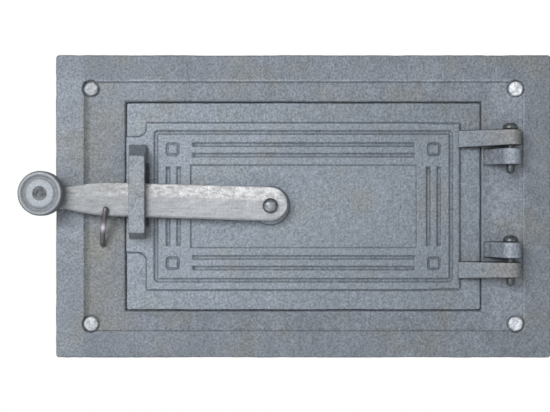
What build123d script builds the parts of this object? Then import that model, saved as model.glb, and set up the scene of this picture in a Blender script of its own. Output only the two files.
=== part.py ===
from build123d import *

import os
from math import cos, radians, sin, tan

os.makedirs("parts", exist_ok=True)

# A cast-iron ash pit door: a wall frame, an inset leaf on two pin hinges and a drop lever.
# X runs to the hinges, Z up, and -Y out of the wall. The origin is the middle of the
# masonry opening in the plane of the wall face. A value ending in _front is a height in
# front of that plane, and one ending in _back is a height of a rear surface, less than
# zero inside the wall.

# Flange of the frame
flange_width = 271.5
flange_height = 166.0
flange_corner = 1.6
border_front = 6.0
border_side = 15.1
border_top = 14.4
recess_depth = 1.0
recess_slope = 0.9
recess_slope_left = 4.0
web_back = 2.0
rim_width = 8.0

# Leaf, its pocket in the frame, the seat behind it and the collar in the wall
leaf_width = 194.0
leaf_height = 113.4
leaf_thickness = 5.0
leaf_corner = 1.0
leaf_gap = 0.75
seat_gap = 0.3
seat_width = 9.0
seat_thickness = 4.0
pocket_wall = 4.0
pocket_corner = 6.0
collar_wall = 4.0
collar_length = 26.0
collar_draft = 1.5
rear_rim_gap = 2.75
rear_rim_width = 3.0
rear_rim_height = 5.0

# Raised panel of the leaf and its grooves
panel_inset = 10.3
panel_rise = 2.0
panel_draft = 18.0
ring_inset = 4.7
ring_corner = 2.4
groove_width = 2.5
groove_depth = 1.1
groove_draft = 20.0
outer_groove_inset = 12.6
inner_groove_inset = 18.4
groove_end_margin = 1.2
field_inset_side = 24.6
field_inset_top = 23.4
field_depth = 1.0
field_draft = 25.0
stud_inset = 15.2
stud_size = 7.6
stud_corner = 2.0
stud_moat = 1.35

# Pad and keeper bridge on the lever side
pad_top = 38.7
pad_bottom = 25.8
pad_fillet = 4.0
keeper_edge_gap = 3.0
keeper_width = 8.6
keeper_foot_top = 34.1
keeper_foot_bottom = 18.9
keeper_crown_top = 27.0
keeper_crown_bottom = 14.3
keeper_slot_top = 24.3
keeper_slot_bottom = 12.0
keeper_slot_corner = 1.6
keeper_bar = 4.3
keeper_clearance = 0.7

# Drop lever, its pivot and its knob
pivot_x = -18.2
pivot_z = 0.4
boss_radius = 10.8
boss_rise = 2.3
boss_draft = 12.0
lever_gap = 0.2
lever_thickness = 5.0
lever_height = 18.4
lever_rise = 0.9
lever_shoulder = 88.0
lever_neck = 111.0
lever_neck_height = 12.0
lever_taper_bulge = 0.55
lever_tilt = 1.65
lever_facet_width = 7.1
lever_facet_slope = 0.24
lever_edge_bevel = 0.9
knob_reach = 122.6
knob_lift = 2.1
knob_radius = 12.0
knob_thickness = 9.0
knob_rim_width = 2.3
knob_step_width = 1.5
knob_step_depth = 1.3
knob_face_drop = 0.5
knob_back_bevel = 1.2
knob_front_bevel = 0.6
knob_rivet_radius = 3.6
knob_dimple_radius = 3.2
knob_dimple_depth = 0.9
knob_rivet_head_height = 1.8
knob_rivet_head_radius = 5.2
pivot_rivet_radius = 3.0
pivot_head_radius = 4.1
pivot_head_height = 3.1
pivot_tail_radius = 5.0
pivot_tail_height = 2.2
pivot_clearance = 0.05
rivet_clearance = 0.1

# Shape of a hammered rivet or pin head, as shares of its radius and height
head_edge_share = 0.25
head_crown_share = 0.5

# Hinges: frame lugs, leaf straps and their pins
pin_edge_gap = 15.0
pin_front = 12.0
knuckle_radius = 5.85
pin_radius = 2.25
pin_clearance = 0.05
upper_lug_bottom = 22.6
upper_lug_top = 31.6
upper_strap_bottom = 33.1
upper_strap_top = 41.6
lower_lug_top = -19.2
lower_lug_bottom = -28.0
lower_strap_top = -30.1
lower_strap_bottom = -38.4
strap_root_drop = 1.1
strap_root_inset = 2.1
strap_root_rise = 0.6
strap_frame_gap = 0.55
lug_edge_gap = 0.8
lug_ramp_length = 3.6
lug_ramp_start = 0.5
lug_ramp_end = 1.9
pin_head_radius = 4.1
pin_head_height = 3.6
pin_head_gap = 0.2
pin_tail_length = 5.0

# Catch hook of round rod on the lever side of the frame
hook_edge_gap = 13.0
hook_rod_radius = 1.4
hook_foot_z = -21.0
hook_foot_front = 8.4
hook_lever_gap = 0.4
hook_knee_drop = 0.4
hook_tip_overlap = 5.2
hook_lean = 9.5
hook_bend_radius = 4.5
hook_hole_clearance = 0.1
hook_tail_radius = 2.6
hook_tail_height = 1.2

# Corner rivets and the flat steel wall anchors that they hold
rivet_inset = 4.15
rivet_shank_radius = 2.5
rivet_head_radius = 4.1
rivet_head_rise = 0.9
rivet_head_bevel = 0.7
rivet_sink_radius = 5.0
rivet_sink_depth = 0.6
rivet_tail_radius = 4.0
rivet_tail_height = 1.8
anchor_thickness = 2.0
anchor_width = 9.6
anchor_heel = 8.5
anchor_bend_radius = 2.0
anchor_reach = 60.0
anchor_notch_depth = 8.0
anchor_notch_width = 5.0

# Surfaces that follow from the sizes above
recess_front = border_front - recess_depth
leaf_front = recess_front
leaf_back = leaf_front - leaf_thickness
seat_front = leaf_back - seat_gap
seat_back = seat_front - seat_thickness
collar_back = seat_back - collar_length
pocket_width = leaf_width + 2 * leaf_gap
pocket_height = leaf_height + 2 * leaf_gap
opening_width = pocket_width - 2 * seat_width
opening_height = pocket_height - 2 * seat_width
panel_width = leaf_width - 2 * panel_inset
panel_height = leaf_height - 2 * panel_inset
panel_front = leaf_front + panel_rise
field_front = panel_front - field_depth
boss_front = panel_front + boss_rise
lever_back = boss_front + lever_gap
lever_front = lever_back + lever_thickness
keeper_slot_front = lever_front + keeper_clearance
keeper_front = keeper_slot_front + keeper_bar
keeper_outer_x = -leaf_width / 2 + keeper_edge_gap
pin_x = leaf_width / 2 + pin_edge_gap
hook_x = -leaf_width / 2 - hook_edge_gap
rivet_x = flange_width / 2 - border_side - rivet_inset
rivet_z = flange_height / 2 - border_top - rivet_inset


def front_plane(height):
    """The plane parallel to the wall, this far in front of it, with X and Z as its axes."""
    return Plane.XZ.offset(height)


def knuckle_plane(level):
    """A level plane through a hinge, centred on the pin, with the wall behind it."""
    return Plane(origin=(pin_x, -pin_front, level), x_dir=(1, 0, 0), z_dir=(0, 0, 1))


# Frame casting: flange, recess, leaf pocket, seat, collar and hinge lugs in one piece
with BuildPart() as frame_casting:
    with BuildSketch(front_plane(web_back)):
        RectangleRounded(flange_width, flange_height, flange_corner)
    extrude(amount=border_front - web_back)
    with BuildSketch(front_plane(0)):
        RectangleRounded(flange_width, flange_height, flange_corner)
        Rectangle(flange_width - 2 * rim_width, flange_height - 2 * rim_width, mode=Mode.SUBTRACT)
    extrude(amount=web_back)
    with BuildSketch(front_plane(seat_back)):
        RectangleRounded(pocket_width + 2 * pocket_wall, pocket_height + 2 * pocket_wall, pocket_corner)
    extrude(amount=web_back - seat_back)
    with BuildSketch(front_plane(seat_back)):
        Rectangle(opening_width + 2 * collar_wall, opening_height + 2 * collar_wall)
    extrude(amount=-collar_length, taper=collar_draft)

    # The recess has a steep edge on three sides and a long slope on the lever side
    recess_left = flange_width / 2 - border_side
    recess_top = flange_height / 2 - border_top
    with BuildSketch(front_plane(border_front)):
        Rectangle(2 * recess_left, 2 * recess_top)
    with BuildSketch(front_plane(recess_front)):
        with Locations(((recess_slope_left - recess_slope) / 2, 0)):
            Rectangle(2 * recess_left - recess_slope_left - recess_slope, 2 * (recess_top - recess_slope))
    loft(mode=Mode.SUBTRACT)

    # Lugs: a knuckle round the pin, a steep face towards the leaf and a low ramp before it
    for lug_bottom, lug_top in ((upper_lug_bottom, upper_lug_top), (lower_lug_bottom, lower_lug_top)):
        lug_left = leaf_width / 2 + leaf_gap + lug_edge_gap - pin_x
        ramp_right = lug_left + lug_ramp_length
        ground = pin_front - web_back
        face = pin_front - recess_front
        with BuildSketch(knuckle_plane(lug_bottom)):
            with BuildLine():
                CenterArc((0, 0), knuckle_radius, 0, 360)
                Line((ramp_right, ground), (knuckle_radius, ground))
            make_hull()
            with BuildLine():
                Polyline(
                    (lug_left, ground),
                    (lug_left, face - lug_ramp_start),
                    (ramp_right, face - lug_ramp_end),
                    (0, face - lug_ramp_end),
                    (0, ground),
                    close=True,
                )
            make_face()
        extrude(amount=lug_top - lug_bottom)

    # Leaf pocket, clear opening, pin bores, hook hole and countersunk rivet holes
    with BuildSketch(front_plane(border_front)):
        Rectangle(pocket_width, pocket_height)
    extrude(amount=seat_front - border_front, mode=Mode.SUBTRACT)
    with BuildSketch(front_plane(seat_front)):
        Rectangle(opening_width, opening_height)
    extrude(amount=collar_back - seat_front, mode=Mode.SUBTRACT)
    with BuildSketch(knuckle_plane(lower_lug_bottom)):
        Circle(pin_radius + pin_clearance)
    extrude(amount=upper_lug_top - lower_lug_bottom, mode=Mode.SUBTRACT)
    with BuildSketch(front_plane(border_front)):
        with Locations((hook_x, hook_foot_z)):
            Circle(hook_rod_radius + hook_hole_clearance)
    extrude(amount=-border_front, mode=Mode.SUBTRACT)
    with BuildSketch(front_plane(border_front)):
        with GridLocations(2 * rivet_x, 2 * rivet_z, 2, 2):
            Circle(rivet_sink_radius)
    extrude(amount=-(recess_depth + rivet_sink_depth), mode=Mode.SUBTRACT)
    with BuildSketch(front_plane(border_front)):
        with GridLocations(2 * rivet_x, 2 * rivet_z, 2, 2):
            Circle(rivet_shank_radius + rivet_clearance)
    extrude(amount=-border_front, mode=Mode.SUBTRACT)
frame_casting.part.label = "frame_casting"
export_step(frame_casting.part, "parts/frame_casting.step")


# Door casting: leaf, raised panel with its grooves, keeper bridge, pivot boss and straps
with BuildPart() as door_casting:
    with BuildSketch(front_plane(leaf_back)):
        RectangleRounded(leaf_width, leaf_height, leaf_corner)
    extrude(amount=leaf_thickness)

    # The panel runs out to the leaf's edge as a pad under the lever
    pad_height = pad_top + pad_bottom
    pad_middle = (pad_top - pad_bottom) / 2
    with BuildSketch(front_plane(leaf_front)) as panel_outline:
        Rectangle(panel_width, panel_height)
        with Locations((-leaf_width / 4, pad_middle)):
            Rectangle(leaf_width / 2, pad_height)
        inner_corners = panel_outline.vertices().filter_by(
            lambda v: abs(v.X + panel_width / 2) < 0.01 and abs(v.Y - pad_middle) < pad_height / 2 + 0.01
        )
        fillet(inner_corners, radius=pad_fillet)
    extrude(amount=panel_rise, taper=panel_draft)

    # Ring groove near the panel's edge
    ring_width = panel_width - 2 * ring_inset
    ring_height = panel_height - 2 * ring_inset
    with BuildSketch(front_plane(panel_front)):
        RectangleRounded(ring_width, ring_height, ring_corner)
        Rectangle(ring_width - 2 * groove_width, ring_height - 2 * groove_width, mode=Mode.SUBTRACT)
    extrude(amount=-groove_depth, taper=groove_draft, mode=Mode.SUBTRACT)

    # Two straight grooves along each side of the field
    field_width = panel_width - 2 * field_inset_side
    field_height = panel_height - 2 * field_inset_top
    for inset in (outer_groove_inset, inner_groove_inset):
        with BuildSketch(front_plane(panel_front)):
            with GridLocations(0, panel_height - 2 * inset, 1, 2):
                Rectangle(field_width - 2 * groove_end_margin, groove_width)
            with GridLocations(panel_width - 2 * inset, 0, 2, 1):
                Rectangle(groove_width, field_height - 2 * groove_end_margin)
        extrude(amount=-groove_depth, taper=groove_draft, mode=Mode.SUBTRACT)

    # Corner studs: a moat round a small square
    with BuildSketch(front_plane(panel_front)):
        with GridLocations(panel_width - 2 * stud_inset, panel_height - 2 * stud_inset, 2, 2):
            RectangleRounded(stud_size, stud_size, stud_corner)
    extrude(amount=-groove_depth, taper=groove_draft, mode=Mode.SUBTRACT)
    stud_core = stud_size - 2 * stud_moat
    with BuildSketch(front_plane(panel_front - groove_depth)):
        with GridLocations(panel_width - 2 * stud_inset, panel_height - 2 * stud_inset, 2, 2):
            RectangleRounded(stud_core, stud_core, stud_corner / 2)
    extrude(amount=groove_depth, taper=groove_draft)

    # Sunk field with the pivot boss rising out of it
    with BuildSketch(front_plane(panel_front)):
        Rectangle(field_width, field_height)
    extrude(amount=-field_depth, taper=field_draft, mode=Mode.SUBTRACT)
    with BuildSketch(front_plane(field_front)):
        with Locations((pivot_x, pivot_z)):
            Circle(boss_radius)
    extrude(amount=boss_front - field_front, taper=boss_draft)

    # Keeper bridge: sloping ends, a bar across the front and a slot for the lever
    with BuildSketch(Plane.YZ.offset(keeper_outer_x)):
        with BuildLine():
            Polyline(
                (-leaf_front, keeper_foot_top),
                (-keeper_front, keeper_crown_top),
                (-keeper_front, -keeper_crown_bottom),
                (-leaf_front, -keeper_foot_bottom),
                close=True,
            )
        make_face()
    extrude(amount=keeper_width)
    slot_height = keeper_slot_top + keeper_slot_bottom
    slot_middle = (keeper_slot_top - keeper_slot_bottom) / 2
    slot_depth = keeper_slot_front - panel_front
    with BuildSketch(Plane.YZ.offset(keeper_outer_x - keeper_width)) as slot_outline:
        with Locations((-(panel_front + keeper_slot_front) / 2, slot_middle)):
            Rectangle(slot_depth, slot_height)
        fillet(slot_outline.vertices(), radius=keeper_slot_corner)
    extrude(amount=3 * keeper_width, mode=Mode.SUBTRACT)

    # Hinge straps, thinned towards the knuckle from below
    strap_root_x = panel_width / 2 - strap_root_inset - pin_x
    strap_foot_x = leaf_width / 2 - pin_x
    strap_root_y = pin_front - panel_front - strap_root_rise
    strap_leaf_y = pin_front - leaf_front
    strap_slope = strap_root_drop / (-strap_root_x)
    for strap_bottom, strap_top in (
        (upper_strap_bottom, upper_strap_top),
        (lower_strap_bottom, lower_strap_top),
    ):
        with BuildSketch(knuckle_plane(strap_bottom - strap_root_drop)):
            with BuildLine():
                CenterArc((0, 0), knuckle_radius, 0, 360)
                Line((strap_root_x, strap_root_y), (strap_root_x, strap_leaf_y - strap_frame_gap / 2))
            make_hull()
            with BuildLine():
                Polyline(
                    (strap_root_x, strap_root_y),
                    (strap_foot_x, strap_leaf_y),
                    (strap_foot_x, strap_leaf_y + leaf_thickness / 2),
                    (strap_root_x, strap_leaf_y + leaf_thickness / 2),
                    close=True,
                )
            make_face()
        extrude(amount=strap_top - strap_bottom + strap_root_drop)
        with BuildSketch(front_plane(leaf_front)):
            with BuildLine():
                Polyline(
                    (pin_x + strap_root_x, strap_bottom - strap_root_drop),
                    (pin_x, strap_bottom),
                    (pin_x + 2 * knuckle_radius, strap_bottom),
                    (pin_x + 2 * knuckle_radius, strap_bottom - 2 * strap_root_drop),
                    (pin_x + strap_root_x, strap_bottom - 2 * strap_root_drop),
                    close=True,
                )
            make_face()
        extrude(amount=2 * pin_front, mode=Mode.SUBTRACT)
    with BuildSketch(knuckle_plane(lower_strap_bottom - strap_root_drop)):
        Circle(pin_radius + pin_clearance)
    extrude(amount=upper_strap_top - lower_strap_bottom + 2 * strap_root_drop, mode=Mode.SUBTRACT)

    # Rim behind the leaf that enters the collar, and the hole for the pivot rivet
    rear_width = opening_width - 2 * rear_rim_gap
    rear_height = opening_height - 2 * rear_rim_gap
    with BuildSketch(front_plane(leaf_back)):
        RectangleRounded(rear_width, rear_height, rear_rim_width)
        Rectangle(rear_width - 2 * rear_rim_width, rear_height - 2 * rear_rim_width, mode=Mode.SUBTRACT)
    extrude(amount=-rear_rim_height)
    with BuildSketch(front_plane(boss_front)):
        with Locations((pivot_x, pivot_z)):
            Circle(pivot_rivet_radius + rivet_clearance)
    extrude(amount=leaf_back - boss_front, mode=Mode.SUBTRACT)
door_casting.part.label = "door_casting"
export_step(door_casting.part, "parts/door_casting.step")


# The lever is drawn along its own centre line, which passes a little above the pivot
tilt = radians(lever_tilt)
lever_along = Vector(-cos(tilt), 0, sin(tilt))
lever_up = Vector(sin(tilt), 0, cos(tilt))
pivot = Vector(pivot_x, 0, pivot_z)
knob_centre = pivot + lever_along * knob_reach + lever_up * (lever_rise + knob_lift)
knob_x = knob_centre.X
knob_z = knob_centre.Z

with BuildPart() as latch_lever:
    half = lever_height / 2
    neck_half = lever_neck_height / 2
    taper_middle = (lever_shoulder + lever_neck) / 2
    taper_half = (half + neck_half) / 2 + lever_taper_bulge
    centre_line = pivot + lever_up * lever_rise + Vector(0, -lever_back, 0)
    with BuildSketch(Plane(origin=centre_line, x_dir=lever_along, z_dir=(0, -1, 0))):
        with BuildLine():
            Line((0, half), (lever_shoulder, half))
            ThreePointArc((lever_shoulder, half), (taper_middle, taper_half), (lever_neck, neck_half))
            Line((lever_neck, neck_half), (knob_reach, neck_half))
            ThreePointArc((knob_reach, neck_half), (knob_reach + neck_half, 0), (knob_reach, -neck_half))
            Line((knob_reach, -neck_half), (lever_neck, -neck_half))
            ThreePointArc((lever_neck, -neck_half), (taper_middle, -taper_half), (lever_shoulder, -half))
            Line((lever_shoulder, -half), (0, -half))
            ThreePointArc((0, -half), (-half, 0), (0, half))
        make_face()
    extrude(amount=lever_thickness)

    # The front falls back from a ridge line to the upper edge, and is bevelled below
    ridge = half - lever_facet_width
    facet_drop = 2 * lever_facet_width * lever_facet_slope
    section = Plane(origin=centre_line, x_dir=(0, -1, 0), z_dir=lever_along)
    with BuildSketch(section.offset(-lever_height)):
        with BuildLine():
            Polyline(
                (lever_thickness, ridge),
                (lever_thickness - facet_drop, ridge + 2 * lever_facet_width),
                (2 * lever_thickness, ridge + 2 * lever_facet_width),
                (2 * lever_thickness, ridge),
                close=True,
            )
        make_face()
        with BuildLine():
            Polyline(
                (lever_thickness, lever_edge_bevel - half),
                (lever_thickness - lever_edge_bevel, -half),
                (lever_thickness - lever_edge_bevel, -half - lever_edge_bevel),
                (lever_thickness + lever_edge_bevel, -half - lever_edge_bevel),
                (lever_thickness + lever_edge_bevel, lever_edge_bevel - half),
                close=True,
            )
        make_face()
    extrude(amount=lever_height + lever_neck, mode=Mode.SUBTRACT)
    with BuildSketch(front_plane(lever_back)):
        with Locations((pivot_x, pivot_z)):
            Circle(pivot_rivet_radius + pivot_clearance)
        with Locations((knob_x, knob_z)):
            Circle(knob_rivet_radius + rivet_clearance)
    extrude(amount=lever_thickness, mode=Mode.SUBTRACT)
latch_lever.part.label = "latch_lever"
export_step(latch_lever.part, "parts/latch_lever.step")


def turning_plane(x, z, height):
    """The plane of a half section turned about an axis square to the wall at x and z."""
    return Plane(origin=(x, -height, z), x_dir=(1, 0, 0), z_dir=(0, 0, -1))


def wall_axis(x, z):
    """An axis square to the wall, pointing out of it."""
    return Axis((x, 0, z), (0, -1, 0))


def head_outline(radius, seat, height):
    """Half section of a hammered rivet head: a short upright edge, a sloping side and a flat crown."""
    return [
        (radius, seat),
        (radius, seat + height * head_edge_share),
        (radius * head_crown_share, seat + height),
        (0, seat + height),
    ]


# Knob: a turned disc with a raised rim, a sunk ring inside it and a flat face
with BuildPart() as handle_knob:
    knob_bore = knob_rivet_radius + rivet_clearance
    rim_inner = knob_radius - knob_rim_width
    step_inner = rim_inner - knob_step_width
    step_height = knob_thickness - knob_step_depth
    face_height = knob_thickness - knob_face_drop
    with BuildSketch(turning_plane(knob_x, knob_z, lever_front)):
        with BuildLine():
            Polyline(
                (knob_bore, 0),
                (knob_radius - knob_back_bevel, 0),
                (knob_radius, knob_back_bevel),
                (knob_radius, knob_thickness - knob_front_bevel),
                (knob_radius - knob_front_bevel, knob_thickness),
                (rim_inner, knob_thickness),
                (rim_inner, step_height),
                (step_inner, step_height),
                (step_inner, face_height),
                (knob_bore, face_height),
                (knob_bore, 0),
            )
        make_face()
    revolve(axis=wall_axis(knob_x, knob_z))
handle_knob.part.label = "handle_knob"
export_step(handle_knob.part, "parts/handle_knob.step")


# Knob rivet: a flat head behind the lever and a dished end in the middle of the knob
with BuildPart() as knob_rivet:
    rivet_end = lever_thickness + knob_thickness - knob_face_drop
    with BuildSketch(turning_plane(knob_x, knob_z, lever_back)):
        with BuildLine():
            Polyline(
                (0, -knob_rivet_head_height),
                (knob_rivet_head_radius, -knob_rivet_head_height),
                (knob_rivet_head_radius, 0),
                (knob_rivet_radius, 0),
                (knob_rivet_radius, rivet_end),
                (knob_dimple_radius, rivet_end),
                (0, rivet_end - knob_dimple_depth),
                (0, -knob_rivet_head_height),
            )
        make_face()
    revolve(axis=wall_axis(knob_x, knob_z))
knob_rivet.part.label = "knob_rivet"
export_step(knob_rivet.part, "parts/knob_rivet.step")


# Pivot rivet of the lever: domed in front, fixed in the leaf and closed behind it
with BuildPart() as lever_pivot_rivet:
    head_seat = lever_front + lever_gap
    with BuildSketch(turning_plane(pivot_x, pivot_z, 0)):
        with BuildLine():
            Polyline(
                (0, head_seat + pivot_head_height),
                (0, leaf_back - pivot_tail_height),
                (pivot_tail_radius, leaf_back - pivot_tail_height),
                (pivot_tail_radius, leaf_back),
                (pivot_rivet_radius, leaf_back),
                (pivot_rivet_radius, head_seat),
                *head_outline(pivot_head_radius, head_seat, pivot_head_height),
            )
        make_face()
    revolve(axis=wall_axis(pivot_x, pivot_z))
lever_pivot_rivet.part.label = "lever_pivot_rivet"
export_step(lever_pivot_rivet.part, "parts/lever_pivot_rivet.step")


# Hinge pins: a mushroom head above and a plain shank
for pin_name, head_seat, tail_end in (
    ("upper_hinge_pin", upper_strap_top + pin_head_gap, upper_lug_bottom - pin_tail_length),
    ("lower_hinge_pin", lower_lug_top, lower_strap_bottom - pin_tail_length),
):
    with BuildPart() as hinge_pin:
        with BuildSketch(Plane(origin=(pin_x, -pin_front, 0), x_dir=(1, 0, 0), z_dir=(0, -1, 0))):
            with BuildLine():
                Polyline(
                    (0, head_seat + pin_head_height),
                    (0, tail_end),
                    (pin_radius, tail_end),
                    (pin_radius, head_seat),
                    *head_outline(pin_head_radius, head_seat, pin_head_height),
                )
            make_face()
        revolve(axis=Axis((pin_x, -pin_front, 0), (0, 0, 1)))
    hinge_pin.part.label = pin_name
    export_step(hinge_pin.part, f"parts/{pin_name}.step")


# Catch hook: round rod out of the flange, bent up in front of the lever, leaning a little
lean = radians(hook_lean)
lever_edge_z = pivot_z + (pivot_x - hook_x) * tan(tilt) + (lever_rise - lever_height / 2) / cos(tilt)
hook_plane = Plane(origin=(hook_x, 0, hook_foot_z), x_dir=(0, -1, 0), z_dir=(-cos(lean), 0, sin(lean)))
hook_upright = lever_front + hook_lever_gap + hook_rod_radius
knee_rise = (lever_edge_z - hook_knee_drop - hook_foot_z) / cos(lean)
tip_rise = (lever_edge_z + hook_tip_overlap - hook_foot_z) / cos(lean)
with BuildPart() as catch_hook:
    with BuildLine(hook_plane):
        FilletPolyline(
            (web_back, 0),
            (hook_foot_front, 0),
            (hook_upright, knee_rise),
            (hook_upright, tip_rise),
            radius=hook_bend_radius,
        )
    with BuildSketch(front_plane(web_back)):
        with Locations((hook_x, hook_foot_z)):
            Circle(hook_rod_radius)
    sweep()
    with BuildSketch(front_plane(web_back)):
        with Locations((hook_x, hook_foot_z)):
            Circle(hook_tail_radius)
    extrude(amount=-hook_tail_height)
catch_hook.part.label = "catch_hook"
export_step(catch_hook.part, "parts/catch_hook.step")


# Anchor rivets: hammered heads sunk in the corners of the recess, closed on the anchors
with BuildPart() as anchor_rivets:
    sink_floor = recess_front - rivet_sink_depth
    head_top = recess_front + rivet_head_rise
    tail_seat = web_back - anchor_thickness
    for side in (-1, 1):
        for end in (-1, 1):
            with BuildSketch(turning_plane(side * rivet_x, end * rivet_z, 0)):
                with BuildLine():
                    Polyline(
                        (0, head_top),
                        (0, tail_seat - rivet_tail_height),
                        (rivet_tail_radius, tail_seat - rivet_tail_height),
                        (rivet_tail_radius, tail_seat),
                        (rivet_shank_radius, tail_seat),
                        (rivet_shank_radius, sink_floor),
                        (rivet_head_radius, sink_floor),
                        (rivet_head_radius, recess_front),
                        (rivet_head_radius - rivet_head_bevel, head_top),
                        (0, head_top),
                    )
                make_face()
            revolve(axis=wall_axis(side * rivet_x, end * rivet_z))
anchor_rivets.part.label = "anchor_rivets"
export_step(anchor_rivets.part, "parts/anchor_rivets.step")


# Wall anchors: flat steel, round about the rivet, bent back beside it and split at the end
for anchor_name, side, end in (
    ("anchor_upper_left", -1, 1),
    ("anchor_upper_right", 1, 1),
    ("anchor_lower_left", -1, -1),
    ("anchor_lower_right", 1, -1),
):
    heel_x = side * (rivet_x + anchor_heel)
    leg_x = heel_x - side * anchor_thickness
    toe_x = side * rivet_x
    foot_y = anchor_thickness - web_back
    with BuildPart() as anchor:
        with BuildSketch(Plane.XY.offset(end * rivet_z - anchor_width / 2)) as anchor_outline:
            with BuildLine():
                Polyline(
                    (toe_x, foot_y),
                    (toe_x, -web_back),
                    (heel_x, -web_back),
                    (heel_x, anchor_reach),
                    (leg_x, anchor_reach),
                    (leg_x, foot_y),
                    close=True,
                )
            make_face()
            inner = anchor_outline.vertices().filter_by(
                lambda v: abs(v.X - leg_x) < 0.01 and abs(v.Y - foot_y) < 0.01
            )
            fillet(inner, radius=anchor_bend_radius)
            outer = anchor_outline.vertices().filter_by(
                lambda v: abs(v.X - heel_x) < 0.01 and abs(v.Y + web_back) < 0.01
            )
            fillet(outer, radius=anchor_bend_radius + anchor_thickness)
        extrude(amount=anchor_width)
        with BuildSketch(Plane.YZ):
            with BuildLine():
                Polyline(
                    (anchor_reach - anchor_notch_depth, end * rivet_z),
                    (anchor_reach, end * rivet_z + anchor_notch_width / 2),
                    (anchor_reach, end * rivet_z - anchor_notch_width / 2),
                    close=True,
                )
            make_face()
        extrude(amount=flange_width, both=True, mode=Mode.SUBTRACT)
        with BuildSketch(front_plane(web_back)):
            with Locations((toe_x, end * rivet_z)):
                Circle(anchor_width / 2)
        extrude(amount=-anchor_thickness)
        with BuildSketch(front_plane(web_back)):
            with Locations((toe_x, end * rivet_z)):
                Circle(rivet_shank_radius + rivet_clearance)
        extrude(amount=-anchor_thickness, mode=Mode.SUBTRACT)
    anchor.part.label = anchor_name
    export_step(anchor.part, f"parts/{anchor_name}.step")
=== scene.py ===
import math

import bpy
import numpy as np
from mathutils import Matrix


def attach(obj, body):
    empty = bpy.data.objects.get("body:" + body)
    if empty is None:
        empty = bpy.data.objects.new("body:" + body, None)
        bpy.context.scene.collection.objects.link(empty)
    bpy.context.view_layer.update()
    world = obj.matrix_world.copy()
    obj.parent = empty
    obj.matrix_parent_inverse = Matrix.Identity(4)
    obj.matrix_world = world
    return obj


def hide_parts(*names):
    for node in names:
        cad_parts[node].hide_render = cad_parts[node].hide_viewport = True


# Cast-iron ash pit door. Lengths are in mm: x to the hinges, z up, h out of the wall, so that y = -h.
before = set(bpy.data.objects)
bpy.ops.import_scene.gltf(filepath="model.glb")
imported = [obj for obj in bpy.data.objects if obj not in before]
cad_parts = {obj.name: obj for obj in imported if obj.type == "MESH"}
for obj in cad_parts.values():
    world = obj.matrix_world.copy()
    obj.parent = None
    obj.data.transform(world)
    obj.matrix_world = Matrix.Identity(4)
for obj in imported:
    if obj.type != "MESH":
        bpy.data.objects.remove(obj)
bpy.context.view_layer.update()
print("frame loaded,", len(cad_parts), "nodes")

scene = bpy.context.scene
scene.view_settings.view_transform = "Standard"
scene.view_settings.look = "None"


# Shapes: points are rows of x, y, z in mm, and faces are lists of point numbers

def softStep(distance, width):
    # smooth rise from 0 to 1 as distance goes from -width/2 to width/2
    t = np.clip(distance / width + 0.5, 0, 1)
    return t * t * (3 - 2 * t)


def boxDistance(x, z, halfX, halfZ, corner=0.0):
    # signed distance to the edge of a rounded rectangle, less than 0 inside
    dx = np.abs(x) - halfX + corner
    dz = np.abs(z) - halfZ + corner
    outside = np.hypot(np.maximum(dx, 0), np.maximum(dz, 0))
    return outside + np.minimum(np.maximum(dx, dz), 0) - corner


def filletJoin(a, b, radius):
    # lesser of two distances, with a round fillet of that radius in the inner corner between the shapes
    nearA, nearB = np.maximum(radius - a, 0), np.maximum(radius - b, 0)
    return np.maximum(np.minimum(a, b), radius) - np.hypot(nearA, nearB)


def ripple(points, size, seed, waves=26):
    # sum of plane waves in random directions, wavelengths about size, scaled to a spread of about 1
    dice = np.random.default_rng(seed)
    heading = dice.normal(size=(waves, 3))
    heading /= np.linalg.norm(heading, axis=1)[:, None]
    pace = 2 * math.pi / (size * dice.uniform(0.6, 1.7, waves))
    phase = dice.uniform(0, 2 * math.pi, waves)
    return np.cos(points @ (heading * pace[:, None]).T + phase).sum(1) * math.sqrt(2 / waves)


def spreadLines(low, high, stops, fine, coarse, reach, multiple=1):
    # grid lines from low to high, fine apart near the stops and coarse apart elsewhere; the stops are hit
    dense = np.linspace(low, high, 6000)
    away = np.abs(dense[:, None] - np.asarray(stops)[None, :]).min(1)
    gap = fine + (coarse - fine) * np.clip((away - reach) / (2 * reach), 0, 1)
    count = np.concatenate([[0], np.cumsum(0.5 * (1 / gap[1:] + 1 / gap[:-1]) * np.diff(dense))])
    cells = multiple * max(1, round(count[-1] / multiple))
    lines = np.interp(np.linspace(0, count[-1], cells + 1), count, dense)
    for stop in stops:
        if low < stop < high:
            lines[1 + np.abs(lines[1:-1] - stop).argmin()] = stop
    return lines


def roundCorners(x, z, halfX, halfZ, radius):
    # pulls the square corners of a plate in to arcs: each square ring round an arc's centre becomes round
    a = (np.abs(x) - halfX + radius) / radius
    b = (np.abs(z) - halfZ + radius) / radius
    inCorner = (a > 0) & (b > 0)
    a, b = np.where(inCorner, a, 1), np.where(inCorner, b, 1)
    pull = np.where(inCorner, np.maximum(a, b) / np.hypot(a, b), 1)
    newX = np.where(inCorner, np.sign(x) * (halfX - radius + a * pull * radius), x)
    newZ = np.where(inCorner, np.sign(z) * (halfZ - radius + b * pull * radius), z)
    return newX, newZ


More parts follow.
